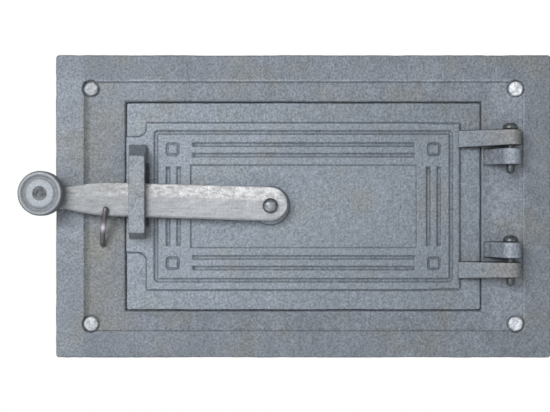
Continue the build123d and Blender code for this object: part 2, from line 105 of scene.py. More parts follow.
def plateShell(xs, zs, move, front, back, kept=None, step=1):
    # closed plate: a grid of front heights, a grid of back heights every step-th line, and walls round the
    # kept cells
    gridX, gridZ = np.meshgrid(xs, zs, indexing="ij")
    px, pz = move(gridX, gridZ)
    rows, cols = gridX.shape
    frontPoints = np.stack([px, -front(gridX, gridZ), pz], -1).reshape(-1, 3)
    backPoints = np.stack([px, -back(gridX, gridZ), pz], -1)[::step, ::step].reshape(-1, 3)
    number = np.arange(rows * cols).reshape(rows, cols)
    coarse = number[::step, ::step]
    behind = rows * cols + np.arange(coarse.size).reshape(coarse.shape)
    if kept is None:
        kept = np.ones((coarse.shape[0] - 1, coarse.shape[1] - 1), bool)
    fineKept = np.repeat(np.repeat(kept, step, 0), step, 1)
    face = np.stack([number[:-1, :-1], number[1:, :-1], number[1:, 1:], number[:-1, 1:]], -1)[fineKept]
    rear = np.stack([behind[:-1, :-1], behind[:-1, 1:], behind[1:, 1:], behind[1:, :-1]], -1)[kept]
    room = np.pad(kept, 1)
    walls = []
    along = np.arange(step + 1)
    i, j = np.nonzero(kept)
    # a cell's four sides: the corners where each starts and ends, and the way to the cell beyond it
    for start, end, beyond in (((0, 0), (1, 0), (0, -1)), ((1, 0), (1, 1), (1, 0)), ((1, 1), (0, 1), (0, 1)),
                               ((0, 1), (0, 0), (-1, 0))):
        bare = ~room[i + 1 + beyond[0], j + 1 + beyond[1]]
        a = (i[bare] + start[0], j[bare] + start[1])
        b = (i[bare] + end[0], j[bare] + end[1])
        fineI = a[0][:, None] * step + (b[0] - a[0])[:, None] * along
        fineJ = a[1][:, None] * step + (b[1] - a[1])[:, None] * along
        rim = number[fineI, fineJ][:, ::-1]
        walls.append(np.concatenate([rim, behind[a][:, None], behind[b][:, None]], 1))
    points = np.concatenate([frontPoints, backPoints])
    used = np.zeros(len(points), bool)
    for group in (face, rear, *walls):
        used[group.ravel()] = True
    renumber = np.cumsum(used) - 1
    return points[used], [renumber[group] for group in (face, rear, *walls)]


def stackShell(rings):
    # closed skin over a stack of rings, each a closed loop of as many points, with a fan of faces at each end
    layers, around = rings.shape[:2]
    number = np.arange(layers * around).reshape(layers, around)
    nxt = np.roll(number, -1, 1)
    side = np.stack([number[:-1], nxt[:-1], nxt[1:], number[1:]], -1).reshape(-1, 4)
    points = np.concatenate([rings.reshape(-1, 3), rings[0].mean(0)[None], rings[-1].mean(0)[None]])
    first, last = layers * around, layers * around + 1
    bottom = np.stack([np.full(around, first), nxt[0], number[0]], -1)
    top = np.stack([np.full(around, last), number[-1], nxt[-1]], -1)
    corner = points[side]
    inside = np.einsum("ij,ij->i", corner[:, 0], np.cross(corner[:, 1], corner[:, 2])).sum()
    inside += np.einsum("ij,ij->i", corner[:, 0], np.cross(corner[:, 2], corner[:, 3])).sum()
    faces = [side, bottom, top]
    return points, faces if inside > 0 else [group[:, ::-1] for group in faces]


def evenLoop(corners, spacing, closed=True):
    # points evenly spaced along a line through the corners
    line = np.asarray(corners, float)
    if closed:
        line = np.concatenate([line, line[:1]])
    run = np.concatenate([[0], np.cumsum(np.linalg.norm(np.diff(line, axis=0), axis=1))])
    count = max(4, round(run[-1] / spacing))
    at = np.linspace(0, run[-1], count + 1)
    if closed:
        at = at[:-1]
    return np.stack([np.interp(at, run, line[:, k]) for k in range(line.shape[1])], 1)


def softCorners(loop, passes):
    # rounds a closed loop's corners a little by averaging each point with its neighbours
    for _ in range(passes):
        loop = 0.5 * loop + 0.25 * (np.roll(loop, 1, 0) + np.roll(loop, -1, 0))
    return loop


def inset(loop, amount):
    # moves a closed loop of 2-D points inwards along its normals
    tangent = np.roll(loop, -1, 0) - np.roll(loop, 1, 0)
    tangent /= np.linalg.norm(tangent, axis=1)[:, None]
    normal = np.stack([-tangent[:, 1], tangent[:, 0]], 1)
    area = np.sum(loop[:, 0] * np.roll(loop[:, 1], -1) - loop[:, 1] * np.roll(loop[:, 0], -1))
    return loop + normal * amount * (1 if area > 0 else -1)


def slabRings(loop, edge, arcSteps=4, fillSteps=5):
    # loops and levels from 0 to 1 of a slab with rounded rims: (loop, share of the way up, offset in mm)
    turn = np.linspace(0, math.pi / 2, arcSteps)
    rings = [(inset(loop, edge * (1 - math.sin(t))), 0, edge * (1 - math.cos(t))) for t in turn]
    lid = rings[0][0]
    middle = lid.mean(0)
    fill = [(middle + (lid - middle) * s, 0, 0.0) for s in np.linspace(0.08, 0.94, fillSteps)]
    lower = fill + rings
    body = [(loop, s, 0.0) for s in np.linspace(0, 1, 5)[1:-1]]
    upper = [(ring, 1, -lift) for ring, _, lift in lower[::-1]]
    return lower + body + upper


def turned(profile, angles, x, z, wobble=0.0, seed=1, size=3.0):
    # profile of (radius, h) turned about an axis square to the wall; wobble hammers the skin in and out
    turn = np.linspace(0, 2 * math.pi, angles, endpoint=False)
    radius, height = np.asarray(profile, float).T
    rings = np.stack([
        x + radius[:, None] * np.cos(turn),
        -height[:, None] + 0 * turn,
        z + radius[:, None] * np.sin(turn)], -1)
    if wobble:
        flat = rings.reshape(-1, 3)
        away = ripple(flat, size, seed).reshape(rings.shape[:2])
        rings[..., 1] -= wobble * away
        rings[..., 0] += wobble * 0.5 * away * np.cos(turn) * np.minimum(radius[:, None], 1)
        rings[..., 2] += wobble * 0.5 * away * np.sin(turn) * np.minimum(radius[:, None], 1)
    return rings


def softLine(corners, radii, perArc=5, perRun=3):
    # open line through 2-D corners, each corner replaced by a quadratic arc that starts its radius before it
    corners = np.asarray(corners, float)
    line = [corners[0][None]]
    for k in range(1, len(corners) - 1):
        before = corners[k - 1] - corners[k]
        after = corners[k + 1] - corners[k]
        start = corners[k] + before / np.linalg.norm(before) * radii[k - 1]
        end = corners[k] + after / np.linalg.norm(after) * radii[k - 1]
        run = np.linspace(0, 1, perRun + 1)[1:-1, None]
        line.append(line[-1][-1] * (1 - run) + start * run)
        t = np.linspace(0, 1, perArc)[:, None]
        line.append(start * (1 - t) ** 2 + corners[k] * 2 * t * (1 - t) + end * t ** 2)
    run = np.linspace(0, 1, perRun + 1)[1:, None]
    line.append(line[-1][-1] * (1 - run) + corners[-1] * run)
    return np.concatenate(line)


def surfaceMarks(points, faces):
    # relief: how far a point stands out of the mean of its neighbours, above 0 on edges, below 0 in hollows;
    # steep: 0 where the surface faces straight out of the wall or into it, 1 where it stands square to it
    edges = np.concatenate([np.stack([group, np.roll(group, -1, 1)], -1).reshape(-1, 2) for group in faces])
    total = np.zeros_like(points)
    count = np.zeros(len(points))
    for a, b in ((0, 1), (1, 0)):
        np.add.at(total, edges[:, a], points[edges[:, b]])
        np.add.at(count, edges[:, a], 1)
    normal = np.zeros_like(points)
    for group in faces:
        spike = np.cross(points[group[:, 1]] - points[group[:, 0]], points[group[:, 2]] - points[group[:, 0]])
        for k in range(group.shape[1]):
            np.add.at(normal, group[:, k], spike)
    normal /= np.maximum(np.linalg.norm(normal, axis=1), 1e-9)[:, None]
    return {"relief": np.einsum("ij,ij->i", points - total / count[:, None], normal),
            "steep": 1 - np.abs(normal[:, 1])}


def makePiece(name, shells, finish, body, node, slotName, **marks):
    # one mesh object from several closed shells, with its relief, steepness and any other marks as attributes
    # of its points
    offset, points, faces = 0, [], []
    for shellPoints, shellFaces in shells:
        points.append(shellPoints)
        faces += [group + offset for group in shellFaces]
        offset += len(shellPoints)
    points = np.concatenate(points)
    mesh = bpy.data.meshes.new(name)
    mesh.from_pydata((points / 1000).tolist(), [], [row for group in faces for row in group.tolist()])
    mesh.update()
    mesh.polygons.foreach_set("use_smooth", np.ones(len(mesh.polygons), bool))
    for mark, values in {**surfaceMarks(points, faces), **marks}.items():
        layer = mesh.attributes.new(mark, "FLOAT", "POINT")
        layer.data.foreach_set("value", np.asarray(values, np.float32))
    mesh.materials.append(finish)
    piece = bpy.data.objects.new(name, mesh)
    scene.collection.objects.link(piece)
    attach(piece, body)
    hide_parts(node)
    triangles = sum(len(group) * (group.shape[1] - 2) for group in faces)
    print(f"{name}: {len(points)} points, {triangles} triangles")


# Finishes

def addNode(tree, kind, inputs=None, **settings):
    # a shader node with its settings, each input either a value or the output it is joined to
    node = tree.nodes.new(kind)
    for key, value in settings.items():
        setattr(node, key, value)
    for key, value in (inputs or {}).items():
        if isinstance(value, bpy.types.NodeSocket):
            tree.links.new(value, node.inputs[key])
        else:
            node.inputs[key].default_value = value
    return node


def speckle(tree, place, size, detail=2.0, rough=0.5):
    # noise with blotches of about that size in mm
    return addNode(tree, "ShaderNodeTexNoise", {"Vector": place, "Scale": 1000 / size, "Detail": detail,
                                                "Roughness": rough}).outputs["Fac"]


def stretch(tree, place, share):
    # place with its x shortened to that share, which draws a pattern out along x
    inputs = {0: place, 1: (share, 1, 1)}
    return addNode(tree, "ShaderNodeVectorMath", inputs, operation="MULTIPLY").outputs[0]


def remap(tree, value, low, high, newLow, newHigh):
    # value carried from one range to another, and held at its ends
    return addNode(tree, "ShaderNodeMapRange", {"Value": value, "From Min": low, "From Max": high,
                                                "To Min": newLow, "To Max": newHigh}).outputs["Result"]


def blendColour(tree, share, a, b, way="MIX"):
    return addNode(tree, "ShaderNodeMix", {0: share, 6: a, 7: b}, data_type="RGBA", blend_type=way).outputs[2]


def combine(tree, way, a, b):
    return addNode(tree, "ShaderNodeMath", {0: a, 1: b}, operation=way).outputs[0]


def markOf(tree, mark):
    return addNode(tree, "ShaderNodeAttribute", attribute_name=mark).outputs["Fac"]


def greyOf(tree, value):
    return addNode(tree, "ShaderNodeCombineColor", {0: value, 1: value, 2: value}).outputs[0]


def metalFinish(name, look):
    # mottled metal: three sizes of noise in its colour, painted shade in hollows, painted highlights on edges
    # and a fine bump. Where a mark named in its look is full, the marks of painted shade (deep, and steep on
    # side faces), of painted shadow under and between parts and of painted light on edges scale the tone by
    # the look's value, and rust tints it. The noise used here lies mostly between 0.3 and 0.7
    finish = bpy.data.materials.new(name)
    finish.use_nodes = True
    tree = finish.node_tree
    tree.nodes.clear()
    place = addNode(tree, "ShaderNodeTexCoord").outputs["Object"]
    relief = markOf(tree, "relief")
    cloud = speckle(tree, place, look["cloud"], 3.0, 0.55)
    mottle = speckle(tree, place, look["mottle"], 2.0, 0.6)
    grain = speckle(tree, place, look["grain"], 1.0, 0.5)
    blotch = combine(tree, "ADD", combine(tree, "MULTIPLY", cloud, look["cloudShare"]),
                     combine(tree, "MULTIPLY", mottle, 1 - look["cloudShare"]))
    colour = blendColour(tree, remap(tree, blotch, 0.36, 0.64, 0, 1), (*look["dark"], 1), (*look["light"], 1))
    rough = 1.0
    if "facetDark" in look:
        # painted highlight: a brighter, pitted tone where the facet mark is 1, and a smoother one with
        # long streaks elsewhere
        facet = markOf(tree, "facet")
        drawn = speckle(tree, stretch(tree, place, 0.5), 2.0)
        bright = blendColour(tree, remap(tree, drawn, 0.34, 0.62, 0, 1), (*look["facetDark"], 1),
                             (*look["facetLight"], 1))
        streak = remap(tree, speckle(tree, stretch(tree, place, 0.22), 1.6), 0.35, 0.65, 0.91, 1.09)
        colour = blendColour(tree, 1.0, colour, greyOf(tree, streak), "MULTIPLY")
        colour = blendColour(tree, facet, colour, bright)
        rough = remap(tree, facet, 0, 1, 0.45, 1)
    if "rust" in look:
        share = combine(tree, "MULTIPLY", markOf(tree, "rust"), remap(tree, cloud, 0.3, 0.6, 0.5, 1))
        colour = blendColour(tree, share, colour, (*look["rust"], 1))
    if "warm" in look:
        patch = speckle(tree, place, look["warmSize"], 2.0, 0.6)
        share = remap(tree, patch, 0.52, 0.72, 0, look["warmShare"])
        colour = blendColour(tree, share, colour, (*look["warm"], 1))
    speck = remap(tree, grain, 0.3, 0.7, 1 - look["contrast"], 1 + look["contrast"])
    # painted shade in hollows and painted highlights on crests, from the relief mark
    hollow = remap(tree, relief, -look["reach"], 0, look["hollow"], 1)
    crest = remap(tree, relief, 0, look["reach"], 1, look["crest"])
    shade = combine(tree, "MULTIPLY", speck, combine(tree, "MULTIPLY", hollow, crest))
    # painted shade (deep) in grooves and slots, painted shadow under and between parts, painted light on
    # edges and highlights, and painted shade (steep) on side faces
    for mark in ("deep", "paintedShadow", "rub", "steep"):
        if mark in look:
            full = 0.5 if mark == "steep" else 1
            shade = combine(tree, "MULTIPLY", shade, remap(tree, markOf(tree, mark), 0, full, 1, look[mark]))
    if "fade" in look:
        # painted light falloff: tone across the piece, from its lever side to its hinge side
        across = addNode(tree, "ShaderNodeSeparateXYZ", {0: place}).outputs["X"]
        left, right, leftTone, rightTone = look["fade"]
        shade = combine(tree, "MULTIPLY", shade, remap(tree, across, left, right, leftTone, rightTone))
    colour = blendColour(tree, 1.0, colour, greyOf(tree, shade), "MULTIPLY")
    bump = combine(tree, "ADD", combine(tree, "MULTIPLY", mottle, look["mottle"]),
                   combine(tree, "MULTIPLY", grain, look["grain"]))
    bump = combine(tree, "MULTIPLY", bump, rough)
    skin = addNode(tree, "ShaderNodeBump", {"Height": bump, "Strength": look["bump"], "Distance": 0.0003})
    gloss = remap(tree, mottle, 0.3, 0.7, look["rough"] - 0.07, look["rough"] + 0.07)
    shader = addNode(tree, "ShaderNodeBsdfPrincipled", {
        "Base Color": colour, "Metallic": look["metal"], "Roughness": gloss, "Normal": skin.outputs[0]})
    out = addNode(tree, "ShaderNodeOutputMaterial")
    tree.links.new(shader.outputs[0], out.inputs[0])
    return finish


# in the looks below, hollow, crest, steep and deep scale painted shade and painted highlights, the painted
# shadow and painted light strengths scale those marks, and fade paints a light falloff across the piece; rust
# and warm are tints of the metal's own colour
castLook = {
    "dark": (0.151, 0.171, 0.200), "light": (0.204, 0.229, 0.265), "cloud": 26, "cloudShare": 0.4,
    "mottle": 2.6, "grain": 1.15, "contrast": 0.26, "reach": 0.18, "hollow": 0.60, "crest": 1.35,
    "metal": 0.2, "rough": 0.62, "bump": 0.8, "warm": (0.182, 0.190, 0.180), "warmSize": 22, "warmShare": 0.6,
    "steep": 0.70, "deep": 0.60, "paintedShadow": 0.22, "rub": 1.6, "rust": (0.200, 0.206, 0.200),
    "fade": (-0.135, 0.135, 1.04, 1.09),
}
castOnly = ("deep", "paintedShadow", "rub", "rust", "fade")
plainLook = {key: value for key, value in castLook.items() if key not in castOnly}
frameIron = metalFinish("frameIron", castLook)
leafIron = metalFinish("leafIron", {
    **castLook, "dark": (0.196, 0.225, 0.263), "light": (0.252, 0.288, 0.334), "warm": (0.226, 0.240, 0.240),
    "steep": 0.68, "deep": 0.90, "rust": (0.262, 0.256, 0.248), "fade": (-0.097, 0.097, 1.14, 0.92)})
# facetDark and facetLight are the colours of the painted highlight on the lever's upper facet
leverSteel = metalFinish("leverSteel", {
    **plainLook, "dark": (0.298, 0.313, 0.332), "light": (0.368, 0.385, 0.406), "cloudShare": 0.5,
    "mottle": 1.8, "grain": 0.9, "contrast": 0.10, "metal": 0.3, "rough": 0.52,
    "warm": (0.33, 0.325, 0.31), "warmShare": 0.3, "facetDark": (0.33, 0.337, 0.346),
    "facetLight": (0.58, 0.588, 0.60), "steep": 0.9, "fade": (-0.125, -0.03, 0.72, 1.12)})
knobIron = metalFinish("knobIron", {
    **plainLook, "dark": (0.300, 0.328, 0.358), "light": (0.365, 0.395, 0.430), "contrast": 0.12, "bump": 0.4,
    "hollow": 0.75, "warmShare": 0.15, "deep": 0.66, "steep": 0.45})
knobRivetSteel = metalFinish("knobRivetSteel", {
    **plainLook, "dark": (0.085, 0.092, 0.10), "light": (0.24, 0.258, 0.28), "mottle": 2.6, "cloudShare": 0.1,
    "contrast": 0.10, "bump": 0.4, "warmShare": 0.0, "steep": 0.8})
rivetSteel = metalFinish("rivetSteel", {
    **plainLook, "dark": (0.183, 0.196, 0.213), "light": (0.379, 0.395, 0.419), "mottle": 2.2,
    "cloudShare": 0.1, "metal": 0.3, "rough": 0.5, "bump": 0.4, "contrast": 0.18, "warmShare": 0.0,
    "steep": 0.35, "rub": 2.6})
pivotSteel = metalFinish("pivotSteel", {
    **plainLook, "dark": (0.17, 0.187, 0.207), "light": (0.33, 0.357, 0.39), "mottle": 2.6, "cloudShare": 0.1,
    "metal": 0.5, "rough": 0.4, "bump": 0.3, "warmShare": 0.0, "steep": 0.22})
pinSteel = metalFinish("pinSteel", {
    **plainLook, "dark": (0.08, 0.088, 0.095), "light": (0.14, 0.15, 0.16), "metal": 0.7, "rough": 0.38,
    "bump": 0.4, "warmShare": 0.2, "steep": 1.0})
hookSteel = metalFinish("hookSteel", {
    **plainLook, "dark": (0.105, 0.100, 0.112), "light": (0.17, 0.162, 0.18), "metal": 0.4, "rough": 0.36,
    "bump": 0.2, "contrast": 0.12, "warm": (0.14, 0.11, 0.105), "warmShare": 0.4, "warmSize": 8, "steep": 0.7,
    "rub": 5.0})
anchorSteel = metalFinish("anchorSteel", {
    **plainLook, "dark": (0.09, 0.09, 0.10), "light": (0.18, 0.18, 0.19), "metal": 0.5, "rough": 0.55,
    "warm": (0.16, 0.11, 0.08), "warmShare": 0.6, "steep": 1.0})
print("finishes made")


# Frame casting: flange, recess, pocket and seat in front, rim, pocket box and collar behind

flange = {
    "halfX": 135.75, "halfZ": 83.0, "corner": 1.8, "front": 6.0, "borderX": 15.1, "borderZ": 14.4,
    "recess": 1.0, "slope": 0.9, "leftSlope": 4.0, "web": 2.0, "rim": 8.0,
    "pocketX": 97.75, "pocketZ": 57.45, "lip": 0.2, "lipReach": 0.4, "wallRun": 1.2, "rootFillet": 2.8,
    "seat": -0.3, "seatWidth": 9.0, "boxWall": 4.0, "boxCorner": 6.0, "boxBack": -4.3, "collarBack": -30.3,
    "draft": 0.68, "rivetX": 116.5, "rivetZ": 64.45, "sink": 5.0, "sinkDepth": 0.6, "edge": 0.9, "wave": 0.25,
}


def frameFront(x, z):
    # border, sloping into the recess, with a sink round each rivet, waves of three sizes from the mould, and
    # the pocket's wall down to the fillet at its root and the seat
    f = flange
    inX, inZ = f["halfX"] - f["borderX"], f["halfZ"] - f["borderZ"]
    share = np.minimum(np.minimum((x + inX) / f["leftSlope"], (inX - x) / f["slope"]),
                       (inZ - np.abs(z)) / f["slope"])
    share = np.clip(share, 0, 1)
    height = f["front"] - f["recess"] * share * (2 - share)
    away = np.hypot(np.abs(x) - f["rivetX"], np.abs(z) - f["rivetZ"])
    sunk = 1 - softStep(away - f["sink"] + 0.2, 0.7)
    height = height * (1 - sunk) + (f["front"] - f["recess"] - f["sinkDepth"]) * sunk
    rim = boxDistance(x, z, f["halfX"], f["halfZ"], f["corner"])
    height -= f["edge"] * np.clip(1 + rim / f["edge"], 0, 1) ** 2
    spot = np.stack([x, 0 * x, z], -1).reshape(-1, 3)
    waves = 0.11 * ripple(spot, 46, 3) + 0.05 * ripple(spot, 11, 4) + 0.025 * ripple(spot, 4.5, 5)
    height += np.clip(waves.reshape(x.shape), -0.3, 0.3) - 0.12
    pocket = boxDistance(x, z, f["pocketX"], f["pocketZ"])
    height -= f["lip"] * np.exp(-np.maximum(pocket, 0) / f["lipReach"])
    wall = softStep(pocket + 0.05, f["wallRun"])
    seat = f["seat"] + f["rootFillet"] * softStep(pocket + f["wallRun"] / 2, 0.3)
    return seat + (height - seat) * wall


def frameBack(x, z):
    # rim round the flange, sunk web, box round the pocket and the drafted collar
    f = flange
    rim = boxDistance(x, z, f["halfX"] - f["rim"], f["halfZ"] - f["rim"], 1.5)
    height = f["web"] * (1 - softStep(rim, 0.8))
    box = boxDistance(x, z, f["pocketX"] + f["boxWall"], f["pocketZ"] + f["boxWall"], f["boxCorner"])
    height += (f["boxBack"] - f["web"]) * (1 - softStep(box + 0.3, 0.6))
    openX, openZ = f["pocketX"] - f["seatWidth"], f["pocketZ"] - f["seatWidth"]
    collar = boxDistance(x, z, openX + f["boxWall"], openZ + f["boxWall"], 1.0)
    height += (f["collarBack"] - f["boxBack"]) * (1 - softStep(collar + f["draft"] / 2, f["draft"]))
    return height


def wavyEdge(halfX, halfZ, corner, wave, seed):
    # a plate's outline: round corners, and edges that wander inwards by up to wave, which dies out over reach
    reach = 4

    def move(x, z):
        px, pz = roundCorners(x, z, halfX, halfZ, corner)
        spot = np.stack([px, 0 * px, pz], -1).reshape(-1, 3)
        drift = (0.4 + 0.3 * ripple(spot, 26, seed) + 0.2 * ripple(spot, 5, seed + 1)).reshape(x.shape)
        pull = wave * np.clip(drift, 0, 1)
        nearX = np.clip(1 - (halfX - np.abs(x)) / reach, 0, 1)
        nearZ = np.clip(1 - (halfZ - np.abs(z)) / reach, 0, 1)
        return px - np.sign(x) * pull * nearX, pz - np.sign(z) * pull * nearZ
    return move


def lineStops(values):
    # each value on both sides of the middle, in order
    return sorted({side * value for value in values for side in (-1, 1)})


def frameShell():
    # the casting's front and back as heights over one grid, less the cells of the ash opening
    f = flange
    openX, openZ = f["pocketX"] - f["seatWidth"], f["pocketZ"] - f["seatWidth"]
    stopsX = lineStops([openX, openX + f["boxWall"], f["pocketX"], f["pocketX"] + f["boxWall"],
                        f["rivetX"] - f["sink"], f["rivetX"], f["halfX"] - f["borderX"],
                        f["halfX"] - f["rim"], f["halfX"]])
    stopsZ = lineStops([openZ, openZ + f["boxWall"], f["pocketZ"], f["pocketZ"] + f["boxWall"],
                        f["rivetZ"], f["halfZ"] - f["borderZ"], f["halfZ"] - f["rim"], f["halfZ"]])
    fine, coarse, reach = 0.34, 3.0, 1.1
    xs = spreadLines(-f["halfX"], f["halfX"], stopsX, fine, coarse, reach)
    zs = spreadLines(-f["halfZ"], f["halfZ"], stopsZ, fine, coarse, reach)
    middleX, middleZ = np.meshgrid((xs[1:] + xs[:-1]) / 2, (zs[1:] + zs[:-1]) / 2, indexing="ij")
    kept = (np.abs(middleX) > openX) | (np.abs(middleZ) > openZ)
    move = wavyEdge(f["halfX"], f["halfZ"], f["corner"], f["wave"], 21)
    return plateShell(xs, zs, move, frameFront, frameBack, kept)


hinge = {
    "x": 112.0, "h": 12.0, "knuckle": 5.85, "pin": 2.25,
    "lugs": ((22.6, 31.6), (-28.0, -19.2)), "straps": ((33.1, 41.6), (-38.4, -30.1)),
    "lugLeft": 98.55, "rampRight": 102.15, "rampStart": 5.5, "rampEnd": 6.9, "ground": 1.6,
    "rootX": 84.45, "rootTop": 7.3, "rootBottom": 5.28, "rootDrop": 1.1, "footX": 96.6, "footFloor": 3.4,
    "heel": (97.4, 5.45), "edge": 0.6,
}


def tangentAngle(px, ph, side):
    # angle on the knuckle of the point where a line from (px, ph) touches it
    dx, dh = px - hinge["x"], ph - hinge["h"]
    return math.atan2(dh, dx) + side * math.acos(hinge["knuckle"] / math.hypot(dx, dh))


def knuckleArc(start, end):
    # points (x, h) round the knuckle between two angles
    turn = np.linspace(start, end, 40)
    return np.stack([hinge["x"] + hinge["knuckle"] * np.cos(turn),
                     hinge["h"] + hinge["knuckle"] * np.sin(turn)], 1)


def slabShell(loop, low, high, edge, rough, seed):
    # outline in (x, h) carried up z between two levels that may slope with x, with rounded rims and a skin
    # that wanders, mostly inwards, by about rough
    rings = []
    for ring, share, lift in slabRings(loop, edge):
        z = low(ring[:, 0]) * (1 - share) + high(ring[:, 0]) * share + lift
        rings.append(np.stack([ring[:, 0], -ring[:, 1], z], 1))
    rings = np.array(rings)
    flat = rings.reshape(-1, 3)
    away = (rough * (ripple(flat, 7, seed) + 0.6 * ripple(flat, 3, seed + 1))).reshape(rings.shape[:2])
    outward = rings - rings.mean(1)[:, None]
    outward /= np.maximum(np.linalg.norm(outward, axis=2), 1e-6)[..., None]
    return stackShell(rings + outward * (away - 1.6 * rough)[..., None])


def lugLoop():
    # steep face from the foot of the ramp up round the knuckle and down to the flange
    h = hinge
    corners = [(h["lugLeft"], h["ground"]), (h["x"] + h["knuckle"], h["ground"])]
    arc = knuckleArc(0, tangentAngle(h["rampRight"], h["ground"], -1) + 2 * math.pi)
    face = [(h["rampRight"] - 0.9, h["rampEnd"]), (h["lugLeft"] + 0.2, h["rampStart"])]
    steep = arc[arc[:, 1] > h["rampEnd"]]
    return softCorners(evenLoop(np.concatenate([corners, steep, face]), 0.5), 2)


def level(height):
    # a slab's face that keeps one height
    return lambda x: height + 0 * x


def strapLoop():
    # round the knuckle, along the strap's two faces to its root, and back over the foot sunk in the panel
    h = hinge
    upper = tangentAngle(h["rootX"], h["rootTop"], -1) + 2 * math.pi
    arc = knuckleArc(tangentAngle(h["rootX"], h["rootBottom"], 1), upper)
    root = [(h["rootX"], h["rootTop"]), (h["rootX"], h["footFloor"]), (h["footX"], h["footFloor"]), h["heel"]]
    return softCorners(evenLoop(np.concatenate([arc, root]), 0.5), 1)


def lugShells():
    # the frame's two hinge lugs, level above and below
    return [slabShell(lugLoop(), level(low), level(high), hinge["edge"], 0.06, 31 + k)
            for k, (low, high) in enumerate(hinge["lugs"])]


def slabShade(points, low, high):
    # 1 on the level faces of a lug or strap, which are painted in shade
    depth = np.minimum(points[:, 2] - low, high - points[:, 2])
    return 1 - np.clip((depth - 0.1) / 0.5, 0, 1)


def ridge(distance, width):
    # 1 on a line, falling off on both sides of it as a bell
    return np.exp(-(distance / width) ** 2)


# strengths of the frame's painted shade, painted shadow and painted light, and of its rust
frameTone = {
    "slope": 0.85, "lip": 0.5, "above": 0.24, "underLug": 0.45, "lugFace": 0.6, "rust": 0.62, "topEdge": 0.7,
    "sideEdge": 0.75, "field": 0.36, "border": 0.22, "lugEnd": 0.8,
}


def frameMarks(points, lugs):
    # painted shade (deep): the long slope and the pocket's lip on the lever side, the border above, and the
    # lugs' steep faces; painted shadow: the lugs' level faces and the recess under them; painted light:
    # highlights on the recess's edges above and on the hinge side and on the lugs' round ends, the dark gap
    # round the leaf lightened, and faintly the recess on the hinge side and the border on the lever side;
    # rust: the recess on the lever side
    f, tone = flange, frameTone
    x, z = points[:, 0], points[:, 2]
    inX, inZ = f["halfX"] - f["borderX"], f["halfZ"] - f["borderZ"]
    pocket = boxDistance(x, z, f["pocketX"], f["pocketZ"])
    front = points[:, 1] < -f["web"]
    inside = np.abs(z) < inZ
    slope = np.clip(1 - (x + inX) / f["leftSlope"], 0, 1) ** 0.7 * (x > -inX) * inside
    lip = np.exp(-np.maximum(pocket, 0) / 1.2) * (x < 0)
    above = softStep(z - inZ - 1, 2) * (1 - softStep(x + 20, 160))
    deep = np.maximum.reduce([tone["slope"] * slope, tone["lip"] * lip, tone["above"] * above]) * front
    paintedShadow = np.zeros(len(points))
    for low, _ in hinge["lugs"]:
        under = boxDistance(x - hinge["x"] + 4, z - low + 0.6, 9.5, 0.6)
        paintedShadow = np.maximum(paintedShadow, tone["underLug"] * (1 - softStep(under, 2.0)) * front)
    rust = softStep(x + inX, 3) * (1 - softStep(x + f["pocketX"], 26)) * inside * front
    rust *= (tone["rust"] - 0.25 * z / f["halfZ"]) * np.clip(1 + 0.3 * ripple(points, 18, 132), 0, 1.4)
    patchy = np.clip(0.6 + 0.4 * ripple(points, 16, 131), 0.15, 1)
    topEdge = ridge(z - inZ - 0.4, 0.45) * (np.abs(x) < inX) * patchy
    sideEdge = ridge(x - inX + 0.3, 0.7) * inside
    field = softStep(x - f["pocketX"] - 4, 8) * (x < inX) * inside
    border = softStep(-inX - x, 2)
    gap = ridge(pocket + 0.2, 0.6) * (points[:, 1] < 0.2)
    rub = np.maximum.reduce([tone["topEdge"] * topEdge, tone["sideEdge"] * sideEdge, tone["field"] * field,
                             tone["border"] * border])
    rub = np.maximum(rub * front, gap)
    for (low, high), (lug, _) in zip(hinge["lugs"], lugs):
        steep = 1 - np.clip((lug[:, 0] - hinge["lugLeft"]) / 4.5, 0, 1)
        roundEnd = np.clip((lug[:, 0] - hinge["rampRight"] + 2) / 3, 0, 1)
        deep = np.concatenate([deep, tone["lugFace"] * steep])
        paintedShadow = np.concatenate([paintedShadow, slabShade(lug, low, high)])
        rub = np.concatenate([rub, tone["lugEnd"] * roundEnd])
        rust = np.concatenate([rust, 0 * steep])
    return {"deep": deep, "paintedShadow": paintedShadow, "rub": rub, "rust": rust}


plate, lugs = frameShell(), lugShells()
makePiece("frameCasting", [plate, *lugs], frameIron, "frame", "frame_casting", "frame_iron",
          **frameMarks(plate[0], lugs))


# Leaf: border, raised panel with its grooves, studs, sunk field, pivot boss, straps and keeper bridge

leaf = {
    "halfX": 97.0, "halfZ": 56.7, "corner": 1.0, "front": 5.0, "rise": 2.0, "panelInset": 10.3,
    "draft": 1.3, "padTop": 38.7, "padBottom": 25.8, "padFillet": 4.0, "ringInset": 4.7, "ringCorner": 2.4,
    "groove": 2.5, "depth": 1.1, "outer": 12.6, "inner": 18.4, "endMargin": 1.2,
    "fieldX": 24.6, "fieldZ": 23.4, "fieldDepth": 1.0, "stud": 15.2, "studSize": 7.6, "studCorner": 2.0,
    "moat": 1.35, "edge": 0.35, "edgeWidth": 0.6, "hingeDraft": 0.7, "hingeDraftX": 70.0,
    "rearX": 86.0, "rearZ": 45.7, "rearWidth": 3.0, "rearHeight": 5.0, "wave": 0.15,
}
panelX, panelZ = leaf["halfX"] - leaf["panelInset"], leaf["halfZ"] - leaf["panelInset"]


def channel(outside):
    # 1 on the floor of a groove and 0 beside it, for a distance outside its edge
    return 1 - softStep(outside + 0.25, 1.1)


